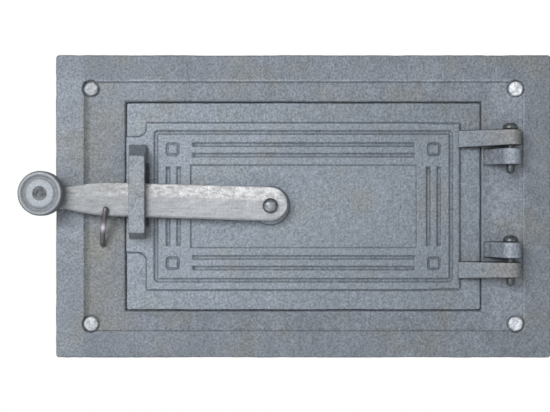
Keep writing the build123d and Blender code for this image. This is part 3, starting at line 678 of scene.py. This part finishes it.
def leafCut(x, z):
    # 1 on the floors of the ring groove, the straight grooves and the moats, 0 elsewhere
    f = leaf
    ringX, ringZ = (half - f["ringInset"] - f["groove"] / 2 for half in (panelX, panelZ))
    ring = boxDistance(x, z, ringX, ringZ, f["ringCorner"] / 2)
    cut = channel(np.abs(ring) - f["groove"] / 2)
    fieldX, fieldZ = panelX - f["fieldX"], panelZ - f["fieldZ"]
    for place in (f["outer"], f["inner"]):
        ends = boxDistance(x, np.abs(z) - panelZ + place, fieldX - f["endMargin"], f["groove"] / 2)
        sides = boxDistance(np.abs(x) - panelX + place, z, f["groove"] / 2, fieldZ - f["endMargin"])
        cut = np.maximum(cut, channel(np.minimum(ends, sides)))
    stud = boxDistance(np.abs(x) - panelX + f["stud"], np.abs(z) - panelZ + f["stud"],
                       f["studSize"] / 2, f["studSize"] / 2, f["studCorner"])
    moat = (1 - softStep(stud + 0.2, 0.8)) * softStep(stud + f["moat"], 0.9) * 0.9
    return np.maximum(cut, moat)


def leafFront(x, z):
    # heights of the leaf: panel and pad over the border, less the grooves, moats and sunk field, with waves
    # of three sizes from the mould; the panel's side slopes further out towards the hinges
    f = leaf
    middle = (f["padTop"] - f["padBottom"]) / 2
    pad = boxDistance(x + f["halfX"], z - middle, f["halfX"] / 2, (f["padTop"] + f["padBottom"]) / 2)
    panel = filletJoin(boxDistance(x, z, panelX, panelZ), pad, f["padFillet"])
    draft = f["draft"] * (1 + f["hingeDraft"] * softStep(x - f["hingeDraftX"], 20))
    height = f["front"] + f["rise"] * (1 - softStep(panel + draft / 2, draft))
    height -= f["depth"] * leafCut(x, z)
    field = boxDistance(x, z, panelX - f["fieldX"], panelZ - f["fieldZ"], 0.6)
    height -= f["fieldDepth"] * (1 - softStep(field + 0.3, 0.9))
    rim = np.maximum(np.abs(x) - f["halfX"], np.abs(z) - f["halfZ"])
    height -= f["edge"] * np.clip(1 + rim / f["edgeWidth"], 0, 1) ** 2
    spot = np.stack([x, 0 * x + 9, z], -1).reshape(-1, 3)
    waves = 0.06 * ripple(spot, 30, 7) + 0.04 * ripple(spot, 9, 8) + 0.025 * ripple(spot, 4, 9)
    return height + np.clip(waves.reshape(x.shape), -0.2, 0.2) - 0.08


def leafBack(x, z):
    # flat back with the rim that enters the collar
    f = leaf
    outer = boxDistance(x, z, f["rearX"], f["rearZ"], f["rearWidth"])
    inner = boxDistance(x, z, f["rearX"] - f["rearWidth"], f["rearZ"] - f["rearWidth"])
    rim = (1 - softStep(outer + 0.4, 0.8)) * softStep(inner + 0.4, 0.8)
    return -f["rearHeight"] * rim


def leafShell():
    # the leaf's front and back as heights over one grid, with lines on the sides of its grooves
    f = leaf
    half = f["groove"] / 2
    across = [0.3, f["ringInset"], f["ringInset"] + f["groove"], f["outer"] - half, f["outer"] + half,
              f["inner"] - half, f["inner"] + half]
    stopsX = lineStops([f["halfX"], *[panelX - a for a in (*across, f["fieldX"])]])
    stopsZ = lineStops([f["halfZ"], *[panelZ - a for a in (*across, f["fieldZ"])]])
    stopsZ += [f["padTop"], -f["padBottom"]]
    xs = spreadLines(-f["halfX"], f["halfX"], stopsX, 0.36, 1.7, 0.9, 3)
    zs = spreadLines(-f["halfZ"], f["halfZ"], sorted(stopsZ), 0.36, 1.5, 0.9, 3)
    move = wavyEdge(f["halfX"], f["halfZ"], f["corner"], f["wave"], 41)
    return plateShell(xs, zs, move, leafFront, leafBack, None, 3)


keeper = {
    "left": -94.0, "width": 8.6, "footTop": 35.3, "footBottom": -18.9, "crownTop": 27.0, "crownBottom": -14.3,
    "slotTop": 24.3, "slotBottom": -12.0, "front": 19.5, "slotFront": 15.2, "floor": 6.6, "sunk": 2.4,
    "flare": 1.4, "lean": 0.9,
}


def keeperShell():
    # rounded box section carried along the arch from its upper foot, over the slot, to its lower foot;
    # the feet flare out on the lever side, and the lower one leans that way
    k = keeper
    root = k["floor"] - k["sunk"]
    outer = softLine([(k["footTop"], root), (k["crownTop"], k["front"]), (k["crownBottom"], k["front"]),
                      (k["footBottom"], root)], [0.9, 0.9], 7, 14)
    inner = softLine([(k["slotTop"], root), (k["slotTop"], k["slotFront"]), (k["slotBottom"], k["slotFront"]),
                      (k["slotBottom"], root)], [1.4, 1.4], 7, 14)
    turn = np.linspace(0, 2 * math.pi, 72, endpoint=False)
    power = 0.16  # 1 would be an ellipse, and 0 a sharp box
    u = np.sign(np.cos(turn)) * np.abs(np.cos(turn)) ** power
    v = np.sign(np.sin(turn)) * np.abs(np.sin(turn)) ** power
    across = k["left"] + k["width"] / 2 + (k["width"] / 2) * u
    mid = (outer + inner) / 2
    half = (outer - inner) / 2
    z = mid[:, :1] + half[:, :1] * v
    h = mid[:, 1:] + half[:, 1:] * v
    down = np.clip((k["front"] - h) / (k["front"] - k["floor"]), 0, 1)
    across = across - down * (k["flare"] * (1 - u) / 2 + k["lean"] * (z < k["slotBottom"]) * (1 + u) / 2)
    rings = np.stack([across, -h, z], -1)
    flat = rings.reshape(-1, 3)
    away = (0.05 * ripple(flat, 8, 51) + 0.03 * ripple(flat, 3.5, 52)).reshape(z.shape)
    rings[..., 0] += away * u
    rings[..., 1] += 0.08 - away * v
    return stackShell(rings)


pivot = {"x": -18.2, "z": 0.4, "boss": 10.8, "bossFoot": 4.0, "bossTop": 9.3, "bossDraft": 0.7}


def bossShell():
    # drafted disc turned about the lever's axis, from a foot sunk in the leaf to a flat top
    p = pivot
    profile = softLine([(0.2, p["bossFoot"]), (p["boss"] + 0.3, p["bossFoot"]), (p["boss"] + 0.1, 6.0),
                        (p["boss"] - p["bossDraft"], p["bossTop"]), (0.2, p["bossTop"])],
                       [0.2, 0.3, 0.6], 5, 4)
    return stackShell(turned(profile, 96, p["x"], p["z"]))


def strapUnder(x, low):
    # height of a strap's lower face, which falls away towards its root
    h = hinge
    return low - h["rootDrop"] * np.clip((h["x"] - x) / (h["x"] - h["rootX"]), 0, 1)


def strapShells():
    # the leaf's two hinge straps, level above
    shells = []
    for k, (low, high) in enumerate(hinge["straps"]):
        def under(x, low=low):
            return strapUnder(x, low)
        shells.append(slabShell(strapLoop(), under, level(high), hinge["edge"], 0.05, 61 + k))
    return shells


# strengths of the leaf's painted shade and painted shadow, of the bridge's darker tone and rust, and where
# the straps' rust starts and how far it runs
leafTone = {
    "above": 0.9, "bridge": 0.9, "bridgeRust": 0.3, "underStrap": 0.55, "rustX": 92.0, "rustRun": 18.0,
}


def leafMarks(points, bridge, boss, straps):
    # painted shade (deep): the floors of the grooves and the border above the panel, and the keeper bridge a
    # little darker all over; painted shadow: under the bridge and the straps, and the straps' level faces;
    # rust:
    # faintly the bridge, and the straps towards their knuckles; painted light: nowhere
    k, tone = keeper, leafTone
    x, z = points[:, 0], points[:, 2]
    front = points[:, 1] < -leaf["front"] / 2
    slotMiddle, slotHalf = (k["slotTop"] + k["slotBottom"]) / 2, (k["slotTop"] - k["slotBottom"]) / 2
    under = boxDistance(x - k["left"] - k["width"] / 2 - 0.6, z - slotMiddle, k["width"] / 2 + 0.6,
                        slotHalf - 0.6)
    dark = 1 - softStep(under, 1.6)
    for low, _ in hinge["straps"]:
        edge = boxDistance(x - hinge["rootX"] - 6, z - low + hinge["rootDrop"] + 0.3, 6.5, 0.5)
        dark = np.maximum(dark, tone["underStrap"] * (1 - softStep(edge, 1.4)))
    above = tone["above"] * softStep(z - panelZ - 1, 1.5)
    onBridge, onBoss = np.ones(len(bridge)), np.zeros(len(boss))
    deep = [np.maximum(leafCut(x, z), above) * front, tone["bridge"] * onBridge, onBoss]
    paintedShadow = [dark * front, 0 * onBridge, onBoss]
    rust = [0 * x, tone["bridgeRust"] * onBridge, onBoss]
    for (low, high), (strap, _) in zip(hinge["straps"], straps):
        deep.append(0 * strap[:, 0])
        paintedShadow.append(slabShade(strap, strapUnder(strap[:, 0], low), high))
        rust.append(np.clip((strap[:, 0] - tone["rustX"]) / tone["rustRun"], 0, 1))
    marks = {"deep": np.concatenate(deep), "paintedShadow": np.concatenate(paintedShadow), "rust": np.concatenate(rust)}
    return {**marks, "rub": 0 * marks["deep"]}


panel, bridge, boss, straps = leafShell(), keeperShell(), bossShell(), strapShells()
makePiece("doorLeaf", [panel, bridge, boss, *straps], leafIron, "door", "door_casting", "door_iron",
          **leafMarks(panel[0], bridge[0], boss[0], straps))


# Drop lever, its knob and the two rivets

lever = {
    "tilt": 1.65, "back": 9.5, "thick": 5.0, "height": 18.4, "rise": 0.9, "shoulder": 88.0, "neck": 111.0,
    "neckHeight": 12.0, "bulge": 0.55, "facet": 7.1, "slope": 0.24, "bevel": 0.9, "reach": 122.6,
    "highlightFade": 0.6, "highlightFadeAt": 82.0, "highlightFadeRun": 36.0,
}
knob = {
    "lift": 2.1, "radius": 11.97, "thick": 9.0, "rimDrop": 0.08, "trough": 8.7, "troughHalf": 1.7,
    "troughDepth": 1.0, "faceDrop": 0.4, "hole": 2.2, "rivet": 3.6, "dimple": 1.4,
}
tilt = math.radians(lever["tilt"])
leverAlong = np.array([-math.cos(tilt), math.sin(tilt)])
leverUp = np.array([math.sin(tilt), math.cos(tilt)])
knobAt = np.array([pivot["x"], pivot["z"]])
knobAt = knobAt + leverAlong * lever["reach"] + leverUp * (lever["rise"] + knob["lift"])


def leverHalf(s):
    # half height along the lever: round end, straight, curved taper, neck and a second round end
    f = lever
    half, neck = f["height"] / 2, f["neckHeight"] / 2
    t = np.clip((s - f["shoulder"]) / (f["neck"] - f["shoulder"]), 0, 1)
    body = half + (neck - half) * t + f["bulge"] * 4 * t * (1 - t)
    start = np.sqrt(np.clip(half ** 2 - np.minimum(s, 0) ** 2, 0, None)) / half
    end = np.sqrt(np.clip(neck ** 2 - np.maximum(s - f["reach"], 0) ** 2, 0, None)) / neck
    return body * start * end


def leverShell():
    # box section with a falling upper facet and a lower bevel, carried along the lever's line; the upper
    # facet is pitted and carries a painted highlight, which fades towards the knob
    f = lever
    half, spacing = f["height"] / 2, 0.45
    startTurn = np.linspace(-math.pi / 2, 0, 26)[1:]
    endTurn = np.linspace(0, math.pi / 2, 16)[:-1]
    stations = np.concatenate([half * np.sin(startTurn), np.arange(spacing, f["reach"], spacing),
                               f["reach"] + f["neckHeight"] / 2 * np.sin(endTurn)])
    crease = half - f["facet"]
    top = f["thick"] - f["facet"] * f["slope"]
    section = softLine([(0, -half + 0.02), (0, half), (top, half), (f["thick"], crease),
                        (f["thick"], f["bevel"] - half), (f["thick"] - f["bevel"], -half), (0.02, -half)],
                       [0.5, 0.7, 1.2, 0.5, 0.4], 6, 14)
    depth, up = section.T
    halves = leverHalf(stations)
    across = up[None, :] * (halves / half)[:, None]
    thin = np.minimum(1, np.sqrt(np.clip(halves / 1.2, 0.02, 1)))[:, None]
    high = f["thick"] / 2 + (depth[None, :] - f["thick"] / 2) * thin
    along = stations[:, None] + 0 * across
    above = across + f["rise"]
    x = pivot["x"] + leverAlong[0] * along + leverUp[0] * above
    z = pivot["z"] + leverAlong[1] * along + leverUp[1] * above
    rings = np.stack([x, -(f["back"] + high), z], -1)
    flat = rings.reshape(-1, 3)
    front = np.clip((depth - 2.5) / 1.5, 0, 1)[None, :]
    pits = ripple(flat * (0.4, 1, 1), 2.4, 71).reshape(x.shape)
    upper = np.clip((up - crease + 0.6) / 1.2, 0, 1)[None, :]
    pits = -np.clip(pits - 0.7, 0, 1.4) * 0.10 * upper
    waves = (0.07 * ripple(flat, 12, 72) + 0.04 * ripple(flat, 4, 73)).reshape(x.shape)
    rings[..., 1] -= (pits + waves - 0.12) * front
    points, faces = stackShell(rings)
    bright = upper * (1 - f["highlightFade"] * softStep(stations - f["highlightFadeAt"], f["highlightFadeRun"]))[:, None] + 0 * x
    return points, faces, np.concatenate([bright.ravel(), [0, 0]])


leverPoints, leverFaces, leverHighlight = leverShell()
makePiece("latchLever", [(leverPoints, leverFaces)], leverSteel, "latch", "latch_lever", "lever_steel",
          facet=leverHighlight)


def knobShell():
    # turned profile: a flat back, the rounded rim, a trough that falls and rises as a cosine, the face inside
    # it, a little lower than the rim, and the rivet's hole
    k = knob
    seat = lever["back"] + lever["thick"]
    top = seat + k["thick"]
    rimLevel, faceLevel = top - k["rimDrop"], top - k["faceDrop"]
    outside, inside = k["trough"] + k["troughHalf"], k["trough"] - k["troughHalf"]
    edge = softLine([(0.3, seat), (k["radius"] - 1.2, seat), (k["radius"], seat + 1.2),
                     (k["radius"], top - 1.0), (k["radius"] - 1.1, rimLevel), (outside + 0.05, rimLevel)],
                    [0.5, 0.5, 0.9, 0.9], 6, 4)
    across = np.linspace(k["troughHalf"], -k["troughHalf"], 17)
    fall = rimLevel - (rimLevel - faceLevel) * softStep(-across, 2 * k["troughHalf"])
    dip = k["troughDepth"] * np.cos(across / k["troughHalf"] * math.pi / 2) ** 2
    trough = np.stack([k["trough"] + across, fall - dip], 1)
    hole = k["rivet"] + 0.1
    face = softLine([(inside - 0.05, faceLevel), (hole, faceLevel), (hole, top - k["hole"]),
                     (0.3, top - k["hole"])], [0.3, 0.1], 5, 4)
    return stackShell(turned(np.concatenate([edge, trough, face]), 128, *knobAt, 0.03, 81, 6))


knobSkin = knobShell()
knobRadius = np.hypot(knobSkin[0][:, 0] - knobAt[0], knobSkin[0][:, 2] - knobAt[1])
troughShade = np.cos(np.clip((knobRadius - knob["trough"]) / (knob["troughHalf"] + 0.3), -1, 1) * math.pi / 2)
# painted shade in the trough, and painted shade on the rim's outer side in place of its steepness
makePiece("handleKnob", [knobSkin], knobIron, "latch", "handle_knob", "knob_iron", deep=troughShade,
          steep=softStep(knobRadius - knob["radius"] + 0.6, 0.8))


def knobRivetShell():
    # turned profile: a closed head behind the lever, the shank, and an end dished in the knob's face
    k, back, tail = knob, lever["back"], 5.2
    top = back + lever["thick"] + k["thick"] - k["faceDrop"]
    profile = softLine([(0.2, back - 1.8), (tail, back - 1.8), (tail, back + 0.3), (k["rivet"], back + 0.5),
                        (k["rivet"], top - 0.15), (2.6, top - 0.55), (1.2, top - k["dimple"]),
                        (0.2, top - k["dimple"])], [0.8, 0.2, 0.2, 0.15, 0.6, 0.5], 5, 3)
    return stackShell(turned(profile, 72, *knobAt, 0.05, 82, 2.5))


makePiece("knobRivet", [knobRivetShell()], knobRivetSteel, "latch", "knob_rivet", "knob_rivet_steel")


pivotRivet = {"head": 4.1, "headHeight": 3.1, "shank": 3.0, "tail": 5.0, "tailHeight": 2.2, "play": 0.2}


def pivotRivetShell():
    # turned profile: a closed tail behind the leaf, the shank, and a domed head in front of the lever
    p = pivotRivet
    seat = lever["back"] + lever["thick"] + p["play"]
    turn = np.linspace(0, math.pi / 2, 12)
    crown = seat + 0.25 + (p["headHeight"] - 0.25) * np.sin(turn)
    head = np.stack([p["head"] * np.cos(turn) ** 0.8, crown], 1)
    head[-1, 0] = 0.15
    body = [(0.15, -p["tailHeight"]), (p["tail"] - 0.8, -p["tailHeight"]),
            (p["tail"], -p["tailHeight"] * 0.4), (p["tail"], 0), (p["shank"], 0), (p["shank"], seat),
            (p["head"] * 0.97, seat)]
    return stackShell(turned(np.concatenate([body, head]), 72, pivot["x"], pivot["z"], 0.04, 83, 3))


makePiece("pivotRivet", [pivotRivetShell()], pivotSteel, "door", "lever_pivot_rivet", "pivot_rivet_steel")


# Hinge pins, corner rivets, catch hook and wall anchors

pin = {"head": 4.1, "headHeight": 3.6, "places": (("upper", 41.8, 17.6), ("lower", -19.2, -43.4))}


def pinShell(seat, end):
    # mushroom head on its seat, shank and a domed tail, turned about the upright hinge axis; the head is
    # hammered a little
    turn = np.linspace(0, math.pi / 2, 10)
    tail = np.stack([hinge["pin"] * np.sin(turn), end + 2.0 - 2.0 * np.cos(turn)], 1)
    tail[0, 0] = 0.15
    crown = seat + 0.5 + (pin["headHeight"] - 0.5) * np.sin(turn)
    head = np.stack([pin["head"] * np.cos(turn) ** 0.7, crown], 1)
    head[-1, 0] = 0.15
    run = np.linspace(end + 2.4, seat - 0.2, 12)
    shank = np.stack([np.full(12, hinge["pin"]), run], 1)
    profile = np.concatenate([tail, shank, [(pin["head"] * 0.96, seat)], head])
    around = np.linspace(0, 2 * math.pi, 64, endpoint=False)
    radius, height = profile.T
    rings = np.stack([
        hinge["x"] + radius[:, None] * np.cos(around),
        -hinge["h"] + radius[:, None] * np.sin(around),
        height[:, None] + 0 * around], -1)
    away = ripple(rings.reshape(-1, 3), 3, int(90 + end)).reshape(rings.shape[:2])
    rings[..., 2] += 0.05 * (away - 1) * (height[:, None] > seat + 0.6)
    return stackShell(rings)


for which, seat, end in pin["places"]:
    makePiece(which + "HingePin", [pinShell(seat, end)], pinSteel, "frame", which + "_hinge_pin", "pin_steel")


# each corner rivet: its sides of the door in x and z, and the strength of the painted highlight on its head
cornerRivet = {
    "places": ((-1, -1, 0.4), (1, -1, 1.0), (-1, 1, 0.0), (1, 1, 0.93)), "head": 4.1, "headHeight": 0.8,
    "shank": 2.5, "tail": 4.0, "tailHeight": 1.8, "dent": 0.14,
}


def cornerRivetShells():
    # hammered flat heads in their sinks, shanks, and closed tails behind the anchors, with the strength of
    # the painted highlight on each head
    f, c = flange, cornerRivet
    floor = f["front"] - f["recess"] - f["sinkDepth"] + 0.1
    top = f["front"] - f["recess"] + c["headHeight"]
    profile = softLine([(0.2, -c["tailHeight"]), (c["tail"], -c["tailHeight"]), (c["tail"], 0),
                        (c["shank"], 0), (c["shank"], floor), (c["head"], floor), (c["head"], top - 0.65),
                        (c["head"] - 0.8, top), (0.2, top)], [0.5, 0.2, 0.2, 0.2, 0.2, 0.3, 0.4], 5, 6)
    shells, rub = [], []
    for k, (sideX, sideZ, shine) in enumerate(c["places"]):
        rings = turned(profile, 72, sideX * f["rivetX"], sideZ * f["rivetZ"])
        blows = np.abs(ripple(rings.reshape(-1, 3), 4.2, 100 + k)).reshape(rings.shape[:2])
        rings[..., 1] -= c["dent"] * np.minimum(blows - 0.8, 0.4) * (profile[:, 1] > top - 0.7)[:, None]
        shells.append(stackShell(rings))
        rub.append(np.full(len(shells[-1][0]), shine))
    return shells, np.concatenate(rub)


rivetSkins, rivetHighlight = cornerRivetShells()
makePiece("cornerRivets", rivetSkins, rivetSteel, "frame", "anchor_rivets", "corner_rivet_steel",
          rub=rivetHighlight)


hook = {"x": -110.0, "z": -21.0, "rod": 1.4, "foot": 8.4, "lean": 9.5, "bend": 4.5, "gap": 0.4, "drop": 0.4,
        "overlap": 5.2, "shine": -11.4}


def hookShell():
    # round rod carried along a bent line: out of the flange, under the lever, and up in front of it, leaning
    # to the right
    f = hook
    lean = math.radians(f["lean"])
    axisLevel = pivot["z"] + (pivot["x"] - f["x"]) * math.tan(tilt)
    under = axisLevel + (lever["rise"] - lever["height"] / 2) / math.cos(tilt)
    upright = lever["back"] + lever["thick"] + f["gap"] + f["rod"]
    knee = (under - f["drop"] - f["z"]) / math.cos(lean)
    tip = (under + f["overlap"] - f["z"]) / math.cos(lean)
    line = softLine([(1.0, 0), (f["foot"], 0), (upright, knee), (upright, tip)],
                    [f["bend"] * 0.9, f["bend"] * 0.55], 12, 8)
    line = evenLoop(line, 0.45, closed=False)
    tangent = np.gradient(line, axis=0)
    tangent /= np.linalg.norm(tangent, axis=1)[:, None]
    turn = np.linspace(0, 2 * math.pi, 40, endpoint=False)
    radius = np.full(len(line), f["rod"])
    radius[-3:] = f["rod"] * np.array([0.92, 0.72, 0.35])
    normal = np.stack([-tangent[:, 1], tangent[:, 0]], 1)
    out = line[:, :1] + radius[:, None] * normal[:, :1] * np.cos(turn)
    up = line[:, 1:] + radius[:, None] * normal[:, 1:] * np.cos(turn)
    side = radius[:, None] * np.sin(turn) + 0 * out
    x = f["x"] + up * math.sin(lean) + side * math.cos(lean)
    z = f["z"] + up * math.cos(lean) - side * math.sin(lean)
    return stackShell(np.stack([x, -out, z], -1))


hookTail = softLine([(0.2, 0.8), (2.6, 0.8), (2.6, 2.0), (0.2, 2.0)], [0.4, 0.1], 4, 4)
hookSkins = [hookShell(), stackShell(turned(hookTail, 48, hook["x"], hook["z"]))]
hookLevel = np.concatenate([points[:, 2] for points, _ in hookSkins])
# painted highlight along the middle of the rod
makePiece("catchHook", hookSkins, hookSteel, "frame", "catch_hook", "hook_steel",
          rub=ridge(hookLevel - hook["shine"], 2.2))


anchor = {
    "thick": 2.0, "width": 9.6, "heel": 8.5, "bend": 2.0, "reach": 60.0, "notch": 8.0, "notchWidth": 5.0,
    "places": (("Upper", "Left", -1, 1, 111), ("Upper", "Right", 1, 1, 112), ("Lower", "Left", -1, -1, 113),
               ("Lower", "Right", 1, -1, 114)),
}


def anchorShell(sideX, sideZ, seed):
    # flat bar: a round foot under the rivet, a bend, and a leg into the wall that ends in a fish tail
    f, a = flange, anchor
    heel, half = f["rivetX"] + a["heel"], a["width"] / 2
    turn = np.linspace(0.08, math.pi / 2, 12)
    foot = np.stack([f["rivetX"] - half * np.cos(turn), 0 * turn], 1)[:-1]
    start = (f["rivetX"], 0.0)
    inner = softLine([start, (heel - a["thick"], 0.0), (heel - a["thick"], a["reach"])], [a["bend"]], 9, 30)
    outer = softLine([(start[0], -a["thick"]), (heel, -a["thick"]), (heel, a["reach"])],
                     [a["bend"] + a["thick"]], 9, 30)
    inner = np.concatenate([foot, inner])
    outer = np.concatenate([foot - (0, a["thick"]), outer])
    v = np.linspace(-1, 1, 41)
    v = np.sign(v) * np.abs(v) ** 0.9
    reach = np.ones(len(inner))
    reach[:len(foot)] = np.sin(turn[:-1])
    z = v * half * reach[:, None]
    cut = np.clip(1 - np.abs(v) * half / (a["notchWidth"] / 2), 0, 1) * a["notch"]

    def sheet(line):
        y = line[:, 1:] + 0 * z
        root = a["reach"] - 2 * a["notch"]
        y = np.where(y > root, root + (y - root) * (1 - cut / (2 * a["notch"])), y)
        return np.stack([line[:, :1] + 0 * z, y, z], -1)

    near, far = sheet(inner), sheet(outer)
    rings = np.concatenate([near, far[:, ::-1]], 1)
    flat = rings.reshape(-1, 3)
    rings[..., 0] += (0.06 * ripple(flat, 14, seed)).reshape(rings.shape[:2])
    rings[..., 0] *= sideX
    rings[..., 2] += sideZ * f["rivetZ"]
    return stackShell(rings)


for upDown, side, sideX, sideZ, seed in anchor["places"]:
    makePiece("anchor" + upDown + side, [anchorShell(sideX, sideZ, seed)], anchorSteel, "frame",
              f"anchor_{upDown}_{side}".lower(), "anchor_steel")
print("pieces made")


# Camera, light and floor

# Places here are in metres
camera = {"place": (-0.0156, -0.556, 0.0002), "lens": 65.7}
sky = {"side": 0.28, "back": 1.0, "front": 0.94}
keyLamp = {"place": (-0.30, -0.62, 0.22), "size": 0.32, "power": 3.25}
backLamp = {"place": (0.45, 0.70, 0.40), "size": 0.5, "power": 5.0}
floorPlate = {"halfX": 1.0, "near": -1.2, "far": 0.36, "level": -0.2, "tone": 0.8, "rough": 0.7}


def addCamera():
    # level camera that faces the door square on, a little to the lever side of its middle
    data = bpy.data.cameras.new("camera")
    data.lens = camera["lens"]
    data.sensor_width = 36
    data.clip_start = 0.01
    stand = bpy.data.objects.new("camera", data)
    stand.location = camera["place"]
    stand.rotation_euler = (math.radians(90), 0, 0)
    scene.collection.objects.link(stand)
    scene.camera = stand


def addLamp(name, place, size, power):
    # square soft light that faces the door's middle and isn't seen itself
    data = bpy.data.lights.new(name, "AREA")
    data.shape = "SQUARE"
    data.size = size
    data.energy = power
    lamp = bpy.data.objects.new(name, data)
    lamp.location = place
    reach = np.array(place)
    flat = math.hypot(reach[0], reach[1])
    lamp.rotation_euler = (math.atan2(flat, reach[2]), 0, math.atan2(reach[1], reach[0]) + math.pi / 2)
    lamp.visible_camera = False
    scene.collection.objects.link(lamp)


def addFloor():
    # pale matt floor below the door
    p = floorPlate
    mesh = bpy.data.meshes.new("floor")
    corners = [(-p["halfX"], p["near"], p["level"]), (p["halfX"], p["near"], p["level"]),
               (p["halfX"], p["far"], p["level"]), (-p["halfX"], p["far"], p["level"])]
    mesh.from_pydata(corners, [], [(0, 1, 2, 3)])
    floor = bpy.data.objects.new("floor", mesh)
    scene.collection.objects.link(floor)
    paint = bpy.data.materials.new("floorPaint")
    paint.use_nodes = True
    shader = paint.node_tree.nodes["Principled BSDF"]
    shader.inputs["Base Color"].default_value = (p["tone"], p["tone"], p["tone"], 1)
    shader.inputs["Roughness"].default_value = p["rough"]
    mesh.materials.append(paint)


def addSky():
    # a tent: bright panels before and behind the door, dimmer ones to its sides, above and below
    world = bpy.data.worlds.new("studio")
    scene.world = world
    world.use_nodes = True
    tree = world.node_tree
    way = addNode(tree, "ShaderNodeTexCoord").outputs["Generated"]
    depth = addNode(tree, "ShaderNodeSeparateXYZ", {0: way}).outputs["Y"]
    behind = remap(tree, depth, 0.70, 0.90, sky["side"], sky["back"])
    before = remap(tree, depth, -0.55, -0.90, 0.0, sky["front"] - sky["side"])
    panels = combine(tree, "ADD", behind, before)
    tree.links.new(panels, tree.nodes["Background"].inputs["Strength"])
    tree.nodes["Background"].inputs["Color"].default_value = (1, 1, 1, 1)


addCamera()
addLamp("keyLight", **keyLamp)
addLamp("backLight", **backLamp)
addFloor()
addSky()
print("stage set")
